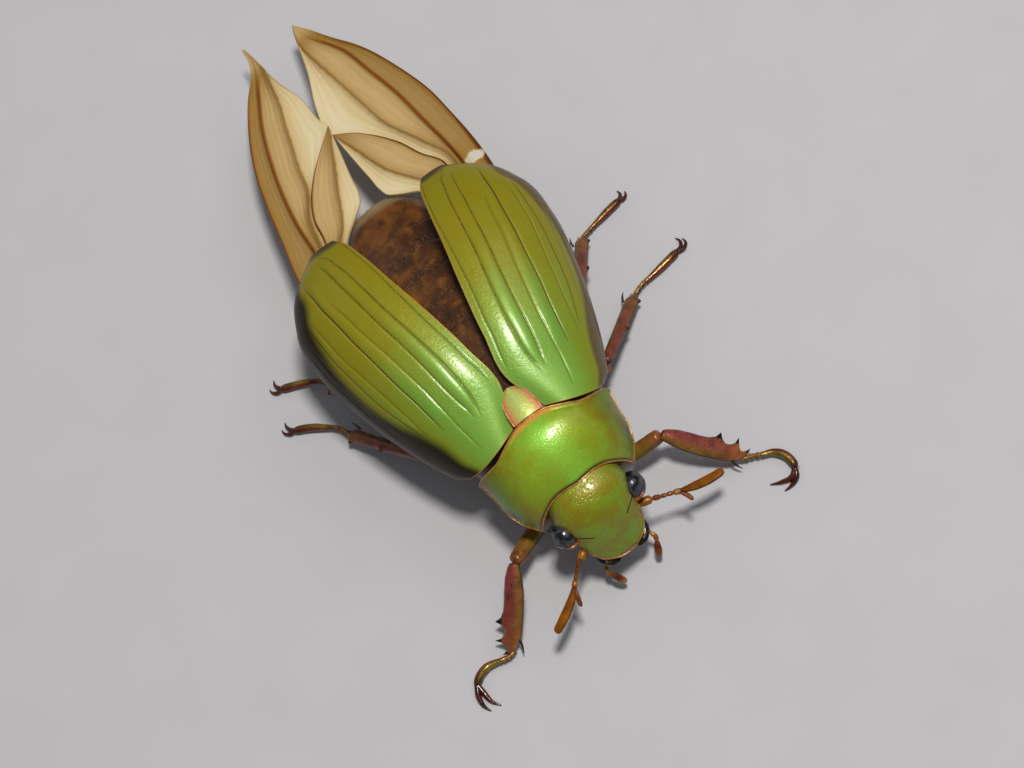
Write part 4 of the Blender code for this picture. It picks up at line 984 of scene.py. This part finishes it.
def makeLeg(place, finish):
    shape = {**legShape["pairs"][place.split("_")[0]], **leg[place]}
    coxa = newBall("hip_" + place, 40, 24)[0]
    writePoints(coxa, np.array(shape["coxa"]) + readPoints(coxa) * shape["coxaSize"] * 0.99)
    tidyNormals(coxa)
    dress(coxa, finish["coxa"])
    knee, ankle = np.array(shape["knee"]), np.array(shape["ankle"])
    ahead = unit(ankle - knee)
    outward = unit(np.cross((0, 0, 1), ahead))
    outward = outward if outward[0] * knee[0] > 0 else -outward
    thin, wide = shape["femur"]
    thigh = drawnOut("thigh_" + place, [shape["coxa"], shape["thigh"], shape["knee"]],
                     [(s, wide * k) for s, k in legShape["femur"]],
                     [(s, thin * k) for s, k in legShape["femur"]],
                     around=36, along=70, cap=0.05, toward=outward)
    dress(thigh, finish["femur"])
    finished(joined("thigh_" + place, [thigh, coxa]), "leg_upper", "femur_" + place, "coxa_" + place)

    front = shape["shin"] == "front"
    rows = legShape[shape["shin"]]
    last = rows[-1][0]
    rows = [(s / last, outer, inner) for s, outer, inner in rows]
    length = np.linalg.norm(ankle - knee)
    deep = [(0, 0.34), (0.1, 0.42), (0.6, 0.44), (0.85, 0.38), (1, 0.12 if front else 0.3)]
    shin = drawnOut("shin_" + place, [knee, (knee + ankle) / 2, knee + ahead * length * last], rows, deep,
                    around=40, toward=outward, **legShape["drawn"][shape["shin"]])
    dress(shin, finish["shin" if front else "sideShin"])
    pieces = [shin]
    for shift in ((0.0,) if front else (0.15, -0.35)):
        spurRoot = knee + ahead * length * 0.9 - outward * (0.45 + shift)
        spurTip = knee + ahead * length * 1.06 - outward * (0.75 + shift * 1.3)
        spurTip[2] = max(spurTip[2] - 0.1, 0.2)
        size = [(0, 0.1), (0.5, 0.08), (1, 0.025)]
        spur = drawnOut("spur", [spurRoot, (spurRoot + spurTip) / 2 - outward * 0.06, spurTip], size, size,
                        around=10, along=16)
        pieces.append(dress(spur, finish["tooth"]))
    finished(joined("shin_" + place, pieces), "leg_shin", "tibia_" + place)
    makeFoot(place, shape, ahead, outward, finish)

    # fringe of hairs along the inner edge of shin and thigh
    count = hair["leg"]
    share = chance.uniform(0.15, 0.88, count)
    inner = np.interp(share, [r[0] for r in rows], [r[2] for r in rows])
    roots = knee + ahead * length * share[:, None] - outward * (inner[:, None] - 0.08) - (0, 0, 0.08)
    aims = -outward + ahead * chance.uniform(0.4, 1.0, (count, 1)) + chance.normal(0, 0.15, (count, 3))
    addFringe(roots, aims, chance.uniform(0.3, 0.6, count), np.stack([share, np.full(count, 0.1)], axis=-1))
    middle = alongPath([shape["coxa"], shape["thigh"], shape["knee"]], share)
    for sign in (1, -1):
        roots = middle + outward * sign * (wide - 0.06) - (0, 0, 0.1)
        aims = outward * sign + ahead * 0.6 + chance.normal(0, 0.2, (count, 3)) - (0, 0, 0.3)
        addFringe(roots, aims, chance.uniform(0.4, 0.8, count),
                  np.stack([share, np.full(count, 0.5)], axis=-1))


def legMaterial(name, inner, outer, end, roughness=0.36, metallic=0.4, edge=0.9):
    # leg shell: thin coppery chitin, one tone on the outer half, another on the inner, black at its teeth
    material, shader, place, marks = newMaterial(
        name, outer, metallic, roughness, ("along", "side", "tooth"),
        coat=0.25, coatRoughness=0.16, specular=0.3)
    cloud = addNode(material, "TexNoise", {"Scale": perSize(0.9), "Detail": 5.0}, {"Vector": place})
    drift = addNode(material, "Math", {"operation": "MULTIPLY_ADD", 1: 0.5, 2: 0.25},
                    {0: cloud.outputs["Fac"]})
    halves = addNode(material, "Math", {"operation": "MULTIPLY_ADD", 1: 0.5}, {0: marks["side"], 2: drift})
    split = addNode(material, "ValToRGB", {"ramp": [(0.2, inner), (0.5, outer)]}, {"Fac": halves})
    colour = painted(material, split, end, marks["along"], [(0.55, 0.0), (1.0, 0.9)])
    shade = addNode(material, "ValToRGB", {"ramp": [(0.35, "#8c8c8c"), (0.6, "#ffffff")]},
                    {"Fac": cloud.outputs["Fac"]})
    colour = addNode(material, "Mix", {"data_type": "RGBA", "blend_type": "MULTIPLY", 0: 0.6},
                     {6: colour, 7: shade}).outputs[2]
    # black edges, black teeth, and a row of pits down the middle
    far = addNode(material, "Math", {"operation": "ABSOLUTE"}, {0: marks["side"]})
    colour = painted(material, colour, "#1c0f08", far, [(0.86, 0.0), (0.97, edge)])
    colour = painted(material, colour, "#0c0806", marks["tooth"], [(0.1, 0.0), (0.6, 1.0)])
    pits = addNode(material, "TexVoronoi", {"Scale": perSize(0.3)}, {"Vector": place})
    pit = addNode(material, "ValToRGB", {"ramp": [(0.13, 1.0), (0.2, 0.0)]},
                  {"Fac": pits.outputs["Distance"]})
    row = addNode(material, "ValToRGB", {"ramp": [(0.1, edge), (0.22, 0.0)]}, {"Fac": far})
    spots = addNode(material, "Math", {"operation": "MULTIPLY"}, {0: pit, 1: row})
    colour = painted(material, colour, "#140a06", spots)
    punctured(material, shader, 0.2, 0.03, roughness, place, colour, "#1c0c06")
    return material


legFinish = {
    "coxa": chitinMaterial("bronzeHip", "#3c2410", "#6d4a22", 0.3, 0.38),
    "femur": legMaterial("oliveCopperThigh", "#8a7a24", "#9c7428", "#9c5a38", edge=0.5),
    "shin": legMaterial("copperPinkShin", "#94682e", "#8c4238", "#a4602e"),
    "sideShin": legMaterial("bronzePinkShin", "#7a5a2c", "#8c4a38", "#8f6234"),
    "tooth": blackChitin,
    "foot": legMaterial("goldBronzeFoot", "#80561c", "#9a6c28", "#a87e38", roughness=0.3, edge=0.8),
    "footLong": legMaterial("bronzeClawJoint", "#8a3c1c", "#86702a", "#4a1e10", roughness=0.26,
                            metallic=0.45, edge=0.6),
    "claw": chitinMaterial("darkRedClaw", "#1c0906", "#5a2012", 0.1, 0.22, grain=0.4, coat=0.5),
}
for place in leg:
    makeLeg(place, legFinish)
print("legs made")

body = {
    # y, half width, top, widest height, bottom
    "rows": [(-4.7, 4.7, 9.6, 6.8, 4), (-3.4, 5.3, 10.8, 6.8, 3.4), (-2.1, 5.65, 11.3, 6.8, 2.9),
             (-1, 5.8, 11.3, 6.6, 2.5), (1, 5.9, 11.2, 6.2, 2.1), (3.5, 6.2, 11, 6.1, 2),
             (5.5, 6.2, 10.8, 6.1, 2), (6.6, 6.1, 10.7, 6.1, 2.1), (9, 6.3, 10.3, 6.1, 1.9),
             (12, 6.1, 9.7, 6.1, 2.1), (14.5, 5.5, 8.9, 6, 2.7), (16.5, 4.6, 8.2, 5.9, 3.5),
             (18, 3.7, 7.6, 5.7, 3.75), (19.2, 3.0, 7.05, 5.3, 3.45), (20, 2.3, 6.3, 4.95, 3.5),
             (20.4, 1.5, 5.75, 4.75, 3.85), (20.58, 0.7, 5.15, 4.65, 4.2)],
    "front": -4.7, "rear": 20.58,
    "skin": -2.1,  # where the skin that is seen begins
    "square": 2.2,
    "plates": (3.4, 6.8, 9.4, 11.9, 14.2, 16.4),  # where each ring of plates ends
    "step": 0.1,
    "bow": 0.05,  # how far the plates' rear edges bow forward at the sides, per square millimetre
}


def bodyPoints(share, angle):
    y = body["front"] + (body["rear"] - body["front"]) * share
    half, top, middle, bottom = np.moveaxis(throughRows(body["rows"], y), -1, 0)
    across = signedPower(np.cos(angle), 2 / body["square"])
    up = signedPower(np.sin(angle), 2 / body["square"])
    # each plate swells towards its rear edge and steps down to the next
    bowed = y + body["bow"] * (half * across) ** 2 * (np.sin(angle) > 0)
    bowed += 0.12 * np.sin(half * across * 2.1 + y)
    ends = np.array([-6.0, *body["plates"], 24.0])
    k = np.clip(np.searchsorted(ends, bowed) - 1, 0, len(ends) - 2)
    t = np.clip((bowed - ends[k]) / (ends[k + 1] - ends[k]), 0, 1)
    swell = body["step"] * np.where(t > 0.93, (1 - t) / 0.07, t ** 0.7) * (1 - rise(y, 16.2, 17.2))
    wrinkle = 0.02 * np.sin(half * across * 3.3 + 1.7 * np.sin(y * 1.9))
    wrinkle *= np.sin(y * 2.7 + half * across * 0.8)
    shrink = np.clip((body["rear"] - y) / 2.0, 0, 1)
    x = (half + swell * shrink - 0.05) * across
    z = middle + np.where(up > 0, top - middle, middle - bottom) * up
    z += (swell + wrinkle * (y > 3)) * shrink * up
    points = np.stack([x, y, z], axis=-1)
    # keep clear below the folded wings
    for side, sign in (("left", 1), ("right", -1)):
        marks = np.stack([throughRows(wing[side][name], np.clip(y, wing["start"], 26))
                          for name in wing["over"]])
        inside = (sign * x > marks[0, :, 0] - 0.5) & (y > 0.4) & (angle > 0)
        roof = np.full(len(y), 99.0)
        for i in np.nonzero(inside)[0]:
            roof[i] = np.interp(sign * x[i], marks[:, i, 0], marks[:, i, 1])
        points[:, 2] = np.minimum(points[:, 2], roof - 0.32)
    away = np.minimum(np.abs(t), np.abs(1 - t)) * (ends[k + 1] - ends[k])
    return points, hump(away, 0.1) * (1 - rise(y, 16.2, 17.0))


def makeBody(material, hairMaterial):
    piece, share, angle, points = loftedBody("body_skin", 150, 330, lambda s, a: bodyPoints(s, a)[0])
    along = np.clip((points[:, 1] - body["skin"]) / (body["rear"] - body["skin"]), 0, 1)
    mark(piece, along=along, up=np.sin(angle), join=bodyPoints(share, angle)[1])
    writePoints(piece, points)
    tidyNormals(piece)
    dress(piece, material)
    finished(piece, "body_skin", "thorax", "abdomen", "pygidium")
    # golden hairs: bands on the back of each plate, a few on the dome, a coat below and on the shoulders
    bands = [(y, 0.35, 1.0, 200) for y in body["plates"][:5]]
    bands += [(7.0, 3.5, 0.9, 700), (17.0, 1.5, 1.3, 60), (19.9, 0.4, 1.8, 90)]
    groups = [(chance.normal(y, spread, count), chance.normal(math.pi / 2, turn * 0.45, count), 0.34, 1.3)
              for y, spread, turn, count in bands]
    count = hair["under"]
    groups.append((chance.uniform(-1.6, 15, count), chance.uniform(-2.7, -0.45, count), 0.6, 0.5))
    count = hair["shoulder"]
    for centre in (0.35, math.pi - 0.35):
        groups.append((chance.uniform(-2.0, -0.6, count), chance.normal(centre, 0.3, count), 0.5, 0.6))
    for y, turn, length, lie in groups:
        share = np.clip((y - body["front"]) / (body["rear"] - body["front"]), 0.002, 0.998)
        roots, _ = bodyPoints(share, turn)
        out = np.stack([np.cos(turn), np.zeros(len(y)), np.sin(turn)], axis=-1)
        aims = out * 0.35 + np.array([0, lie, 0]) + chance.normal(0, 0.35, (len(y), 3))
        addFringe(roots - out * 0.03, aims, length * chance.uniform(0.5, 1.2, len(y)),
                  np.stack([share, (turn / (2 * math.pi)) % 1], axis=-1))
    # short fringe under the clypeus
    count = hair["mouth"]
    turn = chance.uniform(-math.pi + 0.1, -0.1, count)
    roots = headPoints(np.full(count, -12.35), turn)
    aims = np.stack([np.cos(turn) * 0.7, np.full(count, -0.9), np.full(count, -0.15)], axis=-1)
    spots = np.stack([turn / 7 + 0.6, np.full(count, 0.9)], axis=-1)
    addFringe(roots, aims, chance.uniform(0.15, 0.35, count), spots)
    parts = [np.concatenate(fringes[name]) for name in ("roots", "aims", "lengths", "spots")]
    makeHairs("golden_hairs", *parts[:3], hair["thick"], parts[3], hairMaterial, "body_skin")


wing = {
    # each line of a wing as y, x, z rows; one sheet lies between outer and edge, one between dark and rear
    "left": {
        "outer": [(0.8, 5.7, 9.3), (4, 6.4, 8.9), (8, 7.4, 8.4), (12, 8.5, 8), (16, 9.15, 7.6),
                  (19.83, 9.25, 7.05), (22.25, 9.1, 6.8), (24.85, 8.87, 6.5), (28.28, 8.01, 6.07),
                  (31.5, 6.8, 5.66), (33.94, 5.33, 5.36), (35.6, 4.4, 5.2), (36.79, 3.64, 5.06)],
        "vein": [(0.8, 5.4, 9.6), (8, 6.6, 9.1), (16, 7.5, 8.2), (20.22, 7.45, 7.1), (23.09, 7.13, 6.7),
                 (26.38, 6.77, 6.3), (29.36, 6.17, 5.93), (32.31, 5.51, 5.56), (35.21, 4.05, 5.2),
                 (36.79, 3.6, 5.06)],
        "fold": [(0.8, 5.1, 9.7), (8, 6, 9.2), (16, 6.95, 8.0), (19.66, 7.0, 7.15), (22.05, 5.96, 6.8),
                 (24.86, 4.73, 6.49), (28.15, 4.14, 6.08), (31.29, 3.62, 5.69), (35.06, 3.19, 5.22),
                 (36.79, 3.55, 5.06)],
        "edge": [(0.8, 4.9, 9.75), (8, 5.5, 9.4), (16, 5.8, 8.2), (19.51, 6.05, 7.15), (20.7, 5.3, 6.92),
                 (22.98, 4.25, 6.65), (24.87, 2.95, 6.46), (25.95, 1.95, 6.34), (26.76, 1.0, 6.25),
                 (28.37, 0.88, 6.05), (29.55, 1.17, 5.91), (32.74, 2.37, 5.51), (34.63, 2.91, 5.27),
                 (36.79, 3.5, 5.06)],
        "dark": [(0.8, 4.95, 9.9), (8, 5.55, 9.6), (16, 5.9, 8.4), (19.51, 6.25, 7.3), (20.7, 5.53, 7.03),
                 (22.98, 4.52, 6.8), (24.87, 3.23, 6.6), (25.95, 2.24, 6.45), (26.8, 1.03, 6.35)],
        "gold": [(0.8, 4.75, 9.9), (8, 5.2, 9.7), (16, 5.3, 8.5), (17.7, 5.11, 7.8), (19.28, 4.14, 7.3),
                 (21.7, 2.64, 6.95), (24.5, 1.77, 6.6), (26.8, 1.01, 6.35)],
        "rear": [(0.8, 4.6, 9.9), (8, 4.9, 9.7), (12, 4.9, 9.3), (16, 4.5, 8.4), (17.6, 4.2, 7.75),
                 (18.5, 3.5, 7.4), (19.3, 2.35, 7.1), (19.9, 1.6, 6.95), (20.6, 1.36, 6.87),
                 (21.96, 1.26, 6.75), (24.54, 1.1, 6.5), (26.8, 0.98, 6.33)]},
    "right": {
        "outer": [(0.8, 5.7, 9.3), (4, 6.3, 8.9), (8, 7.1, 8.4), (12, 7.8, 8), (16, 7.95, 7.65),
                  (19.31, 7.5, 7.17), (21.37, 7.04, 6.9), (25, 6.29, 6.5), (28.09, 5.46, 6.1),
                  (31.65, 3.86, 5.65), (33.8, 2.5, 5.38), (35.2, 1.35, 5.2), (36.26, 0.84, 5.1),
                  (37.66, 0.68, 5.02)],
        "vein": [(0.8, 5.4, 9.6), (8, 6.5, 9.1), (16, 6.1, 8.3), (19.3, 5.4, 7.3), (21.96, 5.25, 6.85),
                 (24.8, 4.82, 6.5), (27.94, 4.04, 6.11), (30.9, 3.01, 5.74), (33.62, 1.66, 5.4),
                 (36.15, 0.5, 5.1), (37.66, 0.64, 5.02)],
        "fold": [(0.8, 5.1, 9.7), (8, 6, 9.2), (16, 5.4, 8.1), (19.5, 4.75, 7.2), (22.13, 4.2, 6.8),
                 (24.08, 3.11, 6.6), (26.04, 2.61, 6.35), (29.08, 1.7, 5.96), (32.16, 0.77, 5.58),
                 (35.92, 0.35, 5.11), (37.66, 0.6, 5.02)],
        "edge": [(0.8, 4.9, 9.75), (8, 5.5, 9.4), (16, 5.0, 8.3), (20.37, 4.0, 6.95), (21.61, 3.75, 6.8),
                 (23.62, 2.7, 6.58), (25.19, 1.4, 6.42), (26.8, -0.35, 6.22), (27.64, -1.07, 6.14),
                 (28.62, -0.85, 6.02), (31.19, -0.7, 5.7), (33.68, 0.0, 5.39), (35.25, 0.22, 5.19),
                 (37.66, 0.55, 5.02)],
        "dark": [(0.8, 4.95, 9.9), (8, 5.55, 9.6), (16, 5.1, 8.5), (20.37, 4.13, 7.1), (21.61, 3.97, 6.95),
                 (23.62, 2.95, 6.75), (25.19, 1.65, 6.55), (26.8, -0.15, 6.35), (27.6, -1.1, 6.27)],
        "gold": [(0.8, 4.75, 9.9), (8, 5.2, 9.7), (16, 4.6, 8.5), (17.8, 4.1, 7.9), (19.66, 2.71, 7.2),
                 (22.48, 1.25, 6.9), (25.02, 0.07, 6.6), (27.6, -1.12, 6.27)],
        "rear": [(0.8, 4.6, 9.9), (8, 4.9, 9.7), (12, 4.8, 9.3), (16, 4.2, 8.4), (18, 3.3, 7.75),
                 (19, 2.5, 7.35), (20.0, 1.3, 7.0), (20.7, 0.45, 6.86), (21.5, 0.05, 6.8),
                 (22.7, -0.15, 6.68), (25.03, -0.62, 6.42), (27.6, -1.14, 6.26)]},
    "over": ("rear", "gold", "edge", "fold", "vein", "outer"),  # what the body keeps clear of, middle first
    # for each line: ridge height and half width, how dark it is and half that width, all in mm
    "ridges": {"outer": (0.1, 0.22, 0.84, 0.2), "vein": (0.2, 0.17, 0.75, 0.2),
               "fold": (0.18, 0.26, 0.45, 0.18),
               "edge": (0.0, 0.2, 0.2, 0.1), "dark": (0.12, 0.09, 0.86, 0.07),
               "gold": (0.14, 0.24, 0.43, 0.19),
               "rear": (0.0, 0.2, 0.25, 0.08)},
    # lines of each sheet, then the darkness where each lane between them starts and ends
    "sheets": {"front": (("outer", "vein", "fold", "edge"), (0.38, 0.3, 0.24, 0.22, 0.13, 0.0)),
               "leaf": (("dark", "gold", "rear"), (0.22, 0.24, 0.08, 0.0))},
    "grid": {"front": (130, 230), "leaf": (84, 190)},  # columns and lengths of each sheet
    "start": 0.8,  # y of the root
    "raise": {"left": -0.03, "right": 0.12},
    "gap": (18.0, 8.45, 0.58, 0.95),  # pale spot by the left wing's root: y, x and half sizes
    "wall": 0.1,
}


def makeWing(side, material):
    sign = 1 if side == "left" else -1
    pieces = []
    for sheetName, (names, shades) in wing["sheets"].items():
        columns, lengths = wing["grid"][sheetName]
        sheet, across, along = newSheet("hind_wing_" + side, columns, lengths)
        end = wing[side][names[0]][-1][0]
        y = wing["start"] + (end - wing["start"]) * along
        marks = np.stack([throughRows(wing[side][name], y) for name in names])
        where = across * (len(names) - 1)
        k = np.clip(np.floor(where).astype(int), 0, len(names) - 2)
        t = where - k
        each = np.arange(len(y))
        x, z = (marks[k, each] * (1 - t)[:, None] + marks[k + 1, each] * t[:, None]).T
        narrow = np.clip((end - y) / 4, 0, 1)
        shades = np.array(shades)
        tone = shades[2 * k] * (1 - t) + shades[2 * k + 1] * t
        clear = 1 - 0.15 * (1 - rise(tone, 0.05, 0.25))
        lift = -0.16 * np.sin(math.pi * t) * narrow
        for line, name in enumerate(names):
            high, half, dark, darkHalf = wing["ridges"][name]
            shake = 0.025 * np.sin(y * 4.1 + 2 * np.sin(y * 2.3 + line)) + 0.01 * np.sin(y * 15.7)
            away = np.abs(x - marks[line, :, 0] + shake * (name in ("gold", "fold")))
            pale = (1 - 0.45 * rise(y, 30, 36)) if name == "outer" else 1.0
            if name == "outer" and side == "left":
                darkHalf = darkHalf + 0.35 * (1 - rise(y, 17.5, 23))
            lift += high * hump(away, half) * narrow
            tone = np.maximum(tone + 0.07 * hump(away, 0.8), dark * pale * hump(away, darkHalf))
        # fine pleats along the membrane, crinkles at the golden folds
        lift += 0.02 * np.sin(where * 26 + 0.5 * np.sin(y * 1.7)) * np.sin(math.pi * t) * narrow
        tone += 0.08 * (1 - rise(y, 16.5, 20.5)) * (tone > 0.15)
        tone = np.minimum(tone, 1 - 0.72 * rise(y, 32, 36.2))
        clear = np.maximum(clear, rise(tone, 0.3, 0.5))
        if side == "left" and sheetName == "front":
            gapY, gapX, halfY, halfX = wing["gap"]
            spot = 1 - ((y - gapY + 0.1 * np.sin(x * 5)) / halfY) ** 2 - ((x - gapX) / halfX) ** 2
            clear *= 1 - 0.8 * rise(spot, 0, 0.8)
            tone *= 1 - rise(spot, 0, 0.5)
        writePoints(sheet, np.stack([sign * x, y, z + lift + wing["raise"][side]], axis=-1))
        mark(sheet, tone=tone, clear=clear, lane=where * 9, stretch=y * 0.35)
        if sign > 0:
            sheet.data.flip_normals()
        addWall(sheet, wing["wall"])
        pieces.append(dress(sheet, material))
    finished(joined("hind_wing_" + side, pieces), "hind_wing", "hindwing_" + side)


def skinMaterial():
    # upper skin of the abdomen: amber chitin, wrinkled and glossy, with painted shade at its front under the
    # wing cases and nearly black painted shade in the folds between plates
    material, shader, place, marks = newMaterial(
        "amberAbdomen", "#5f3410", 0.0, 0.4, ("along", "join", "up"),
        coat=0.3, coatRoughness=0.17, scatter=0.1, scatterScale=0.4 * mm, specular=0.25)
    cloud = addNode(material, "TexNoise", {"Scale": perSize(1.6), "Detail": 4.0, "Distortion": 0.5},
                    {"Vector": place})
    tone = addNode(material, "ValToRGB", {"ramp": [(0.32, "#2a1304"), (0.5, "#4a2808"), (0.68, "#75480d")]},
                   {"Fac": cloud.outputs["Fac"]})
    dome = addNode(material, "ValToRGB", {"ramp": [(0.78, 0.0), (0.86, 0.85)]}, {"Fac": marks["along"]})
    soft = addNode(material, "ValToRGB", {"ramp": [(0.35, "#3e1f04"), (0.65, "#6c3e0a")]},
                   {"Fac": cloud.outputs["Fac"]})
    colour = painted(material, tone, soft, dome)
    # painted shade: the front of the abdomen, under the wing cases and shield, is painted nearly black
    colour = painted(material, colour, "#1e1008", marks["along"], [(0.15, 0.8), (0.4, 0.0)])
    # painted shade in the creases where each plate steps down to the next
    fold = addNode(material, "Math", {"operation": "MULTIPLY", 1: 0.5}, {0: marks["join"]})
    colour = painted(material, colour, "#1a0c05", fold)
    colour = painted(material, colour, "#9c8454", marks["along"], [(0.93, 0.0), (0.975, 1.0)])
    colour = painted(material, colour, "#6a4a20", marks["up"], [(0.0, 1.0), (0.08, 0.0)])
    feed(material, colour, shader, "Base Color")
    wrinkle = addNode(material, "TexNoise", {"Scale": perSize(0.5), "Detail": 4.0, "Distortion": 1.2},
                      {"Vector": place})
    bump = addNode(material, "Bump", {"Strength": 0.7, "Distance": 0.05 * mm},
                   {"Height": wrinkle.outputs["Fac"]})
    feed(material, bump, shader, "Normal", "Coat Normal")
    return material


def membraneMaterial():
    # hind wing: clear horn-like membrane, straw to brown, over rust and dark brown veins
    material, shader, place, marks = newMaterial(
        "strawWingMembrane", "#c9a877", 0.0, 0.4, ("tone", "clear", "lane", "stretch"),
        coat=0.16, coatRoughness=0.2, scatter=0.15, scatterScale=0.3 * mm, specular=0.25)
    # silky streaks about 0.2 mm apart that run along the wing
    lane = addNode(material, "CombineXYZ", feeds={0: marks["lane"], 1: marks["stretch"]})
    streak = addNode(material, "TexNoise", {"Scale": 1.0, "Detail": 4.0, "Distortion": 0.3},
                     {"Vector": lane})
    drift = addNode(material, "Math", {"operation": "MULTIPLY_ADD", 1: 0.09, 2: -0.045},
                    {0: streak.outputs["Fac"]})
    depth = addNode(material, "Math", {"operation": "ADD", "use_clamp": True}, {0: marks["tone"], 1: drift})
    tone = addNode(material, "ValToRGB", {"ramp": [
        (0.0, "#eadfbe"), (0.1, "#dbc898"), (0.24, "#bea26c"), (0.36, "#9c7e48"), (0.5, "#8e6a20"),
        (0.68, "#87460f"),
        (0.82, "#56300c"), (1.0, "#2a1606")]}, {"Fac": depth})
    feed(material, tone, shader, "Base Color")
    feed(material, marks["clear"], shader, "Alpha")
    crease = addNode(material, "TexNoise", {"Scale": perSize(0.4), "Detail": 4.0, "Distortion": 1.5},
                     {"Vector": place})
    height = addNode(material, "Math", {"operation": "MULTIPLY_ADD", 1: 0.8},
                     {0: streak.outputs["Fac"], 2: crease.outputs["Fac"]})
    bump = addNode(material, "Bump", {"Strength": 0.4, "Distance": 0.03 * mm}, {"Height": height})
    feed(material, bump, shader, "Normal", "Coat Normal")
    return material


def hairMaterial():
    # fine golden hairs: keratin-like chitin, pale at the tips, that catches the light
    material, shader, place, marks = newMaterial(
        "goldenHair", "#cdb277", 0.0, 0.4, ("along",),
        coat=0.2, coatRoughness=0.3)
    cloud = addNode(material, "TexNoise", {"Scale": perSize(1.0)}, {"Vector": place})
    drift = addNode(material, "Math", {"operation": "MULTIPLY_ADD", 1: 0.6},
                    {0: cloud.outputs["Fac"], 2: marks["along"]})
    tone = addNode(material, "ValToRGB", {"ramp": [(0.2, "#6e4812"), (1.0, "#c09a52")]}, {"Fac": drift})
    feed(material, tone, shader, "Base Color")
    return material


makeBody(skinMaterial(), hairMaterial())
membrane = membraneMaterial()
for side in ("left", "right"):
    makeWing(side, membrane)
print("body, hairs and hind wings made")

view = {
    "aim": (0.487, 0.1, 12.04),
    "distance": 260,
    "height": 70,   # degrees above the floor
    "roll": -37,
    "lens": 127.97,  # on a 36 mm sensor
}
floorTone = {"size": 1.4, "colours": ("#b7b7bb", "#bababe")}
lamps = {
    # direction from the beetle, distance mm, size mm, watts, colour
    "key": ((0.18, -0.11, 1.0), 420, 55, 1.42, "#fffaf4"),
    "top": ((0.7, 0.1, 1.0), 520, 300, 0.3, "#f6f7ff"),
    "rear": ((-0.4, 1.0, 0.8), 520, 380, 0.12, "#f6f8ff"),
}
skyLight = ("#eef1f6", 0.2)


def makeView():
    lens = bpy.data.cameras.new("photoView")
    lens.sensor_width = 36
    lens.lens = view["lens"]
    lens.clip_start = 0.01
    lens.clip_end = 10
    camera = newObject("photoView", lens)
    tilt, roll = math.radians(90 - view["height"]), math.radians(view["roll"])
    turn = Matrix.Rotation(tilt, 3, "X") @ Matrix.Rotation(roll, 3, "Z")
    aim = Vector((np.array(view["aim"]) + bodyOrigin) * mm)
    camera.matrix_world = Matrix.Translation(aim + turn.col[2] * view["distance"] * mm) @ turn.to_4x4()
    bpy.context.scene.camera = camera


def makeFloor():
    pick()
    bpy.ops.mesh.primitive_plane_add(size=floorTone["size"], location=(0, 0, 0))
    floor = bpy.context.object
    floor.name = "floor"
    material, shader, place, _ = newMaterial("paleMattPaper", floorTone["colours"][0], 0.0, 0.9)
    fibre = addNode(material, "TexNoise", {"Scale": perSize(6.0), "Detail": 6.0}, {"Vector": place})
    tone = addNode(material, "ValToRGB", {"ramp": list(zip((0.3, 0.7), floorTone["colours"]))},
                   {"Fac": fibre.outputs["Fac"]})
    feed(material, tone, shader, "Base Color")
    dress(floor, material)


def makeLight():
    for name, (direction, distance, size, watts, colour) in lamps.items():
        lamp = bpy.data.lights.new(name, "AREA")
        lamp.shape = "DISK"
        lamp.size = size * mm
        lamp.energy = watts
        lamp.color = hexColour(colour)[:3]
        holder = newObject(name, lamp)
        away = Vector(direction).normalized()
        facing = away.to_track_quat("Z", "Y").to_matrix().to_4x4()
        holder.matrix_world = Matrix.Translation(away * distance * mm) @ facing
    world = bpy.data.worlds.new("studio")
    world.use_nodes = True
    sky = world.node_tree.nodes["Background"].inputs
    sky["Color"].default_value, sky["Strength"].default_value = hexColour(skyLight[0]), skyLight[1]
    bpy.context.scene.world = world


bpy.context.scene.view_settings.view_transform = "Standard"
makeView()
makeFloor()
makeLight()
print("camera, floor and light placed")
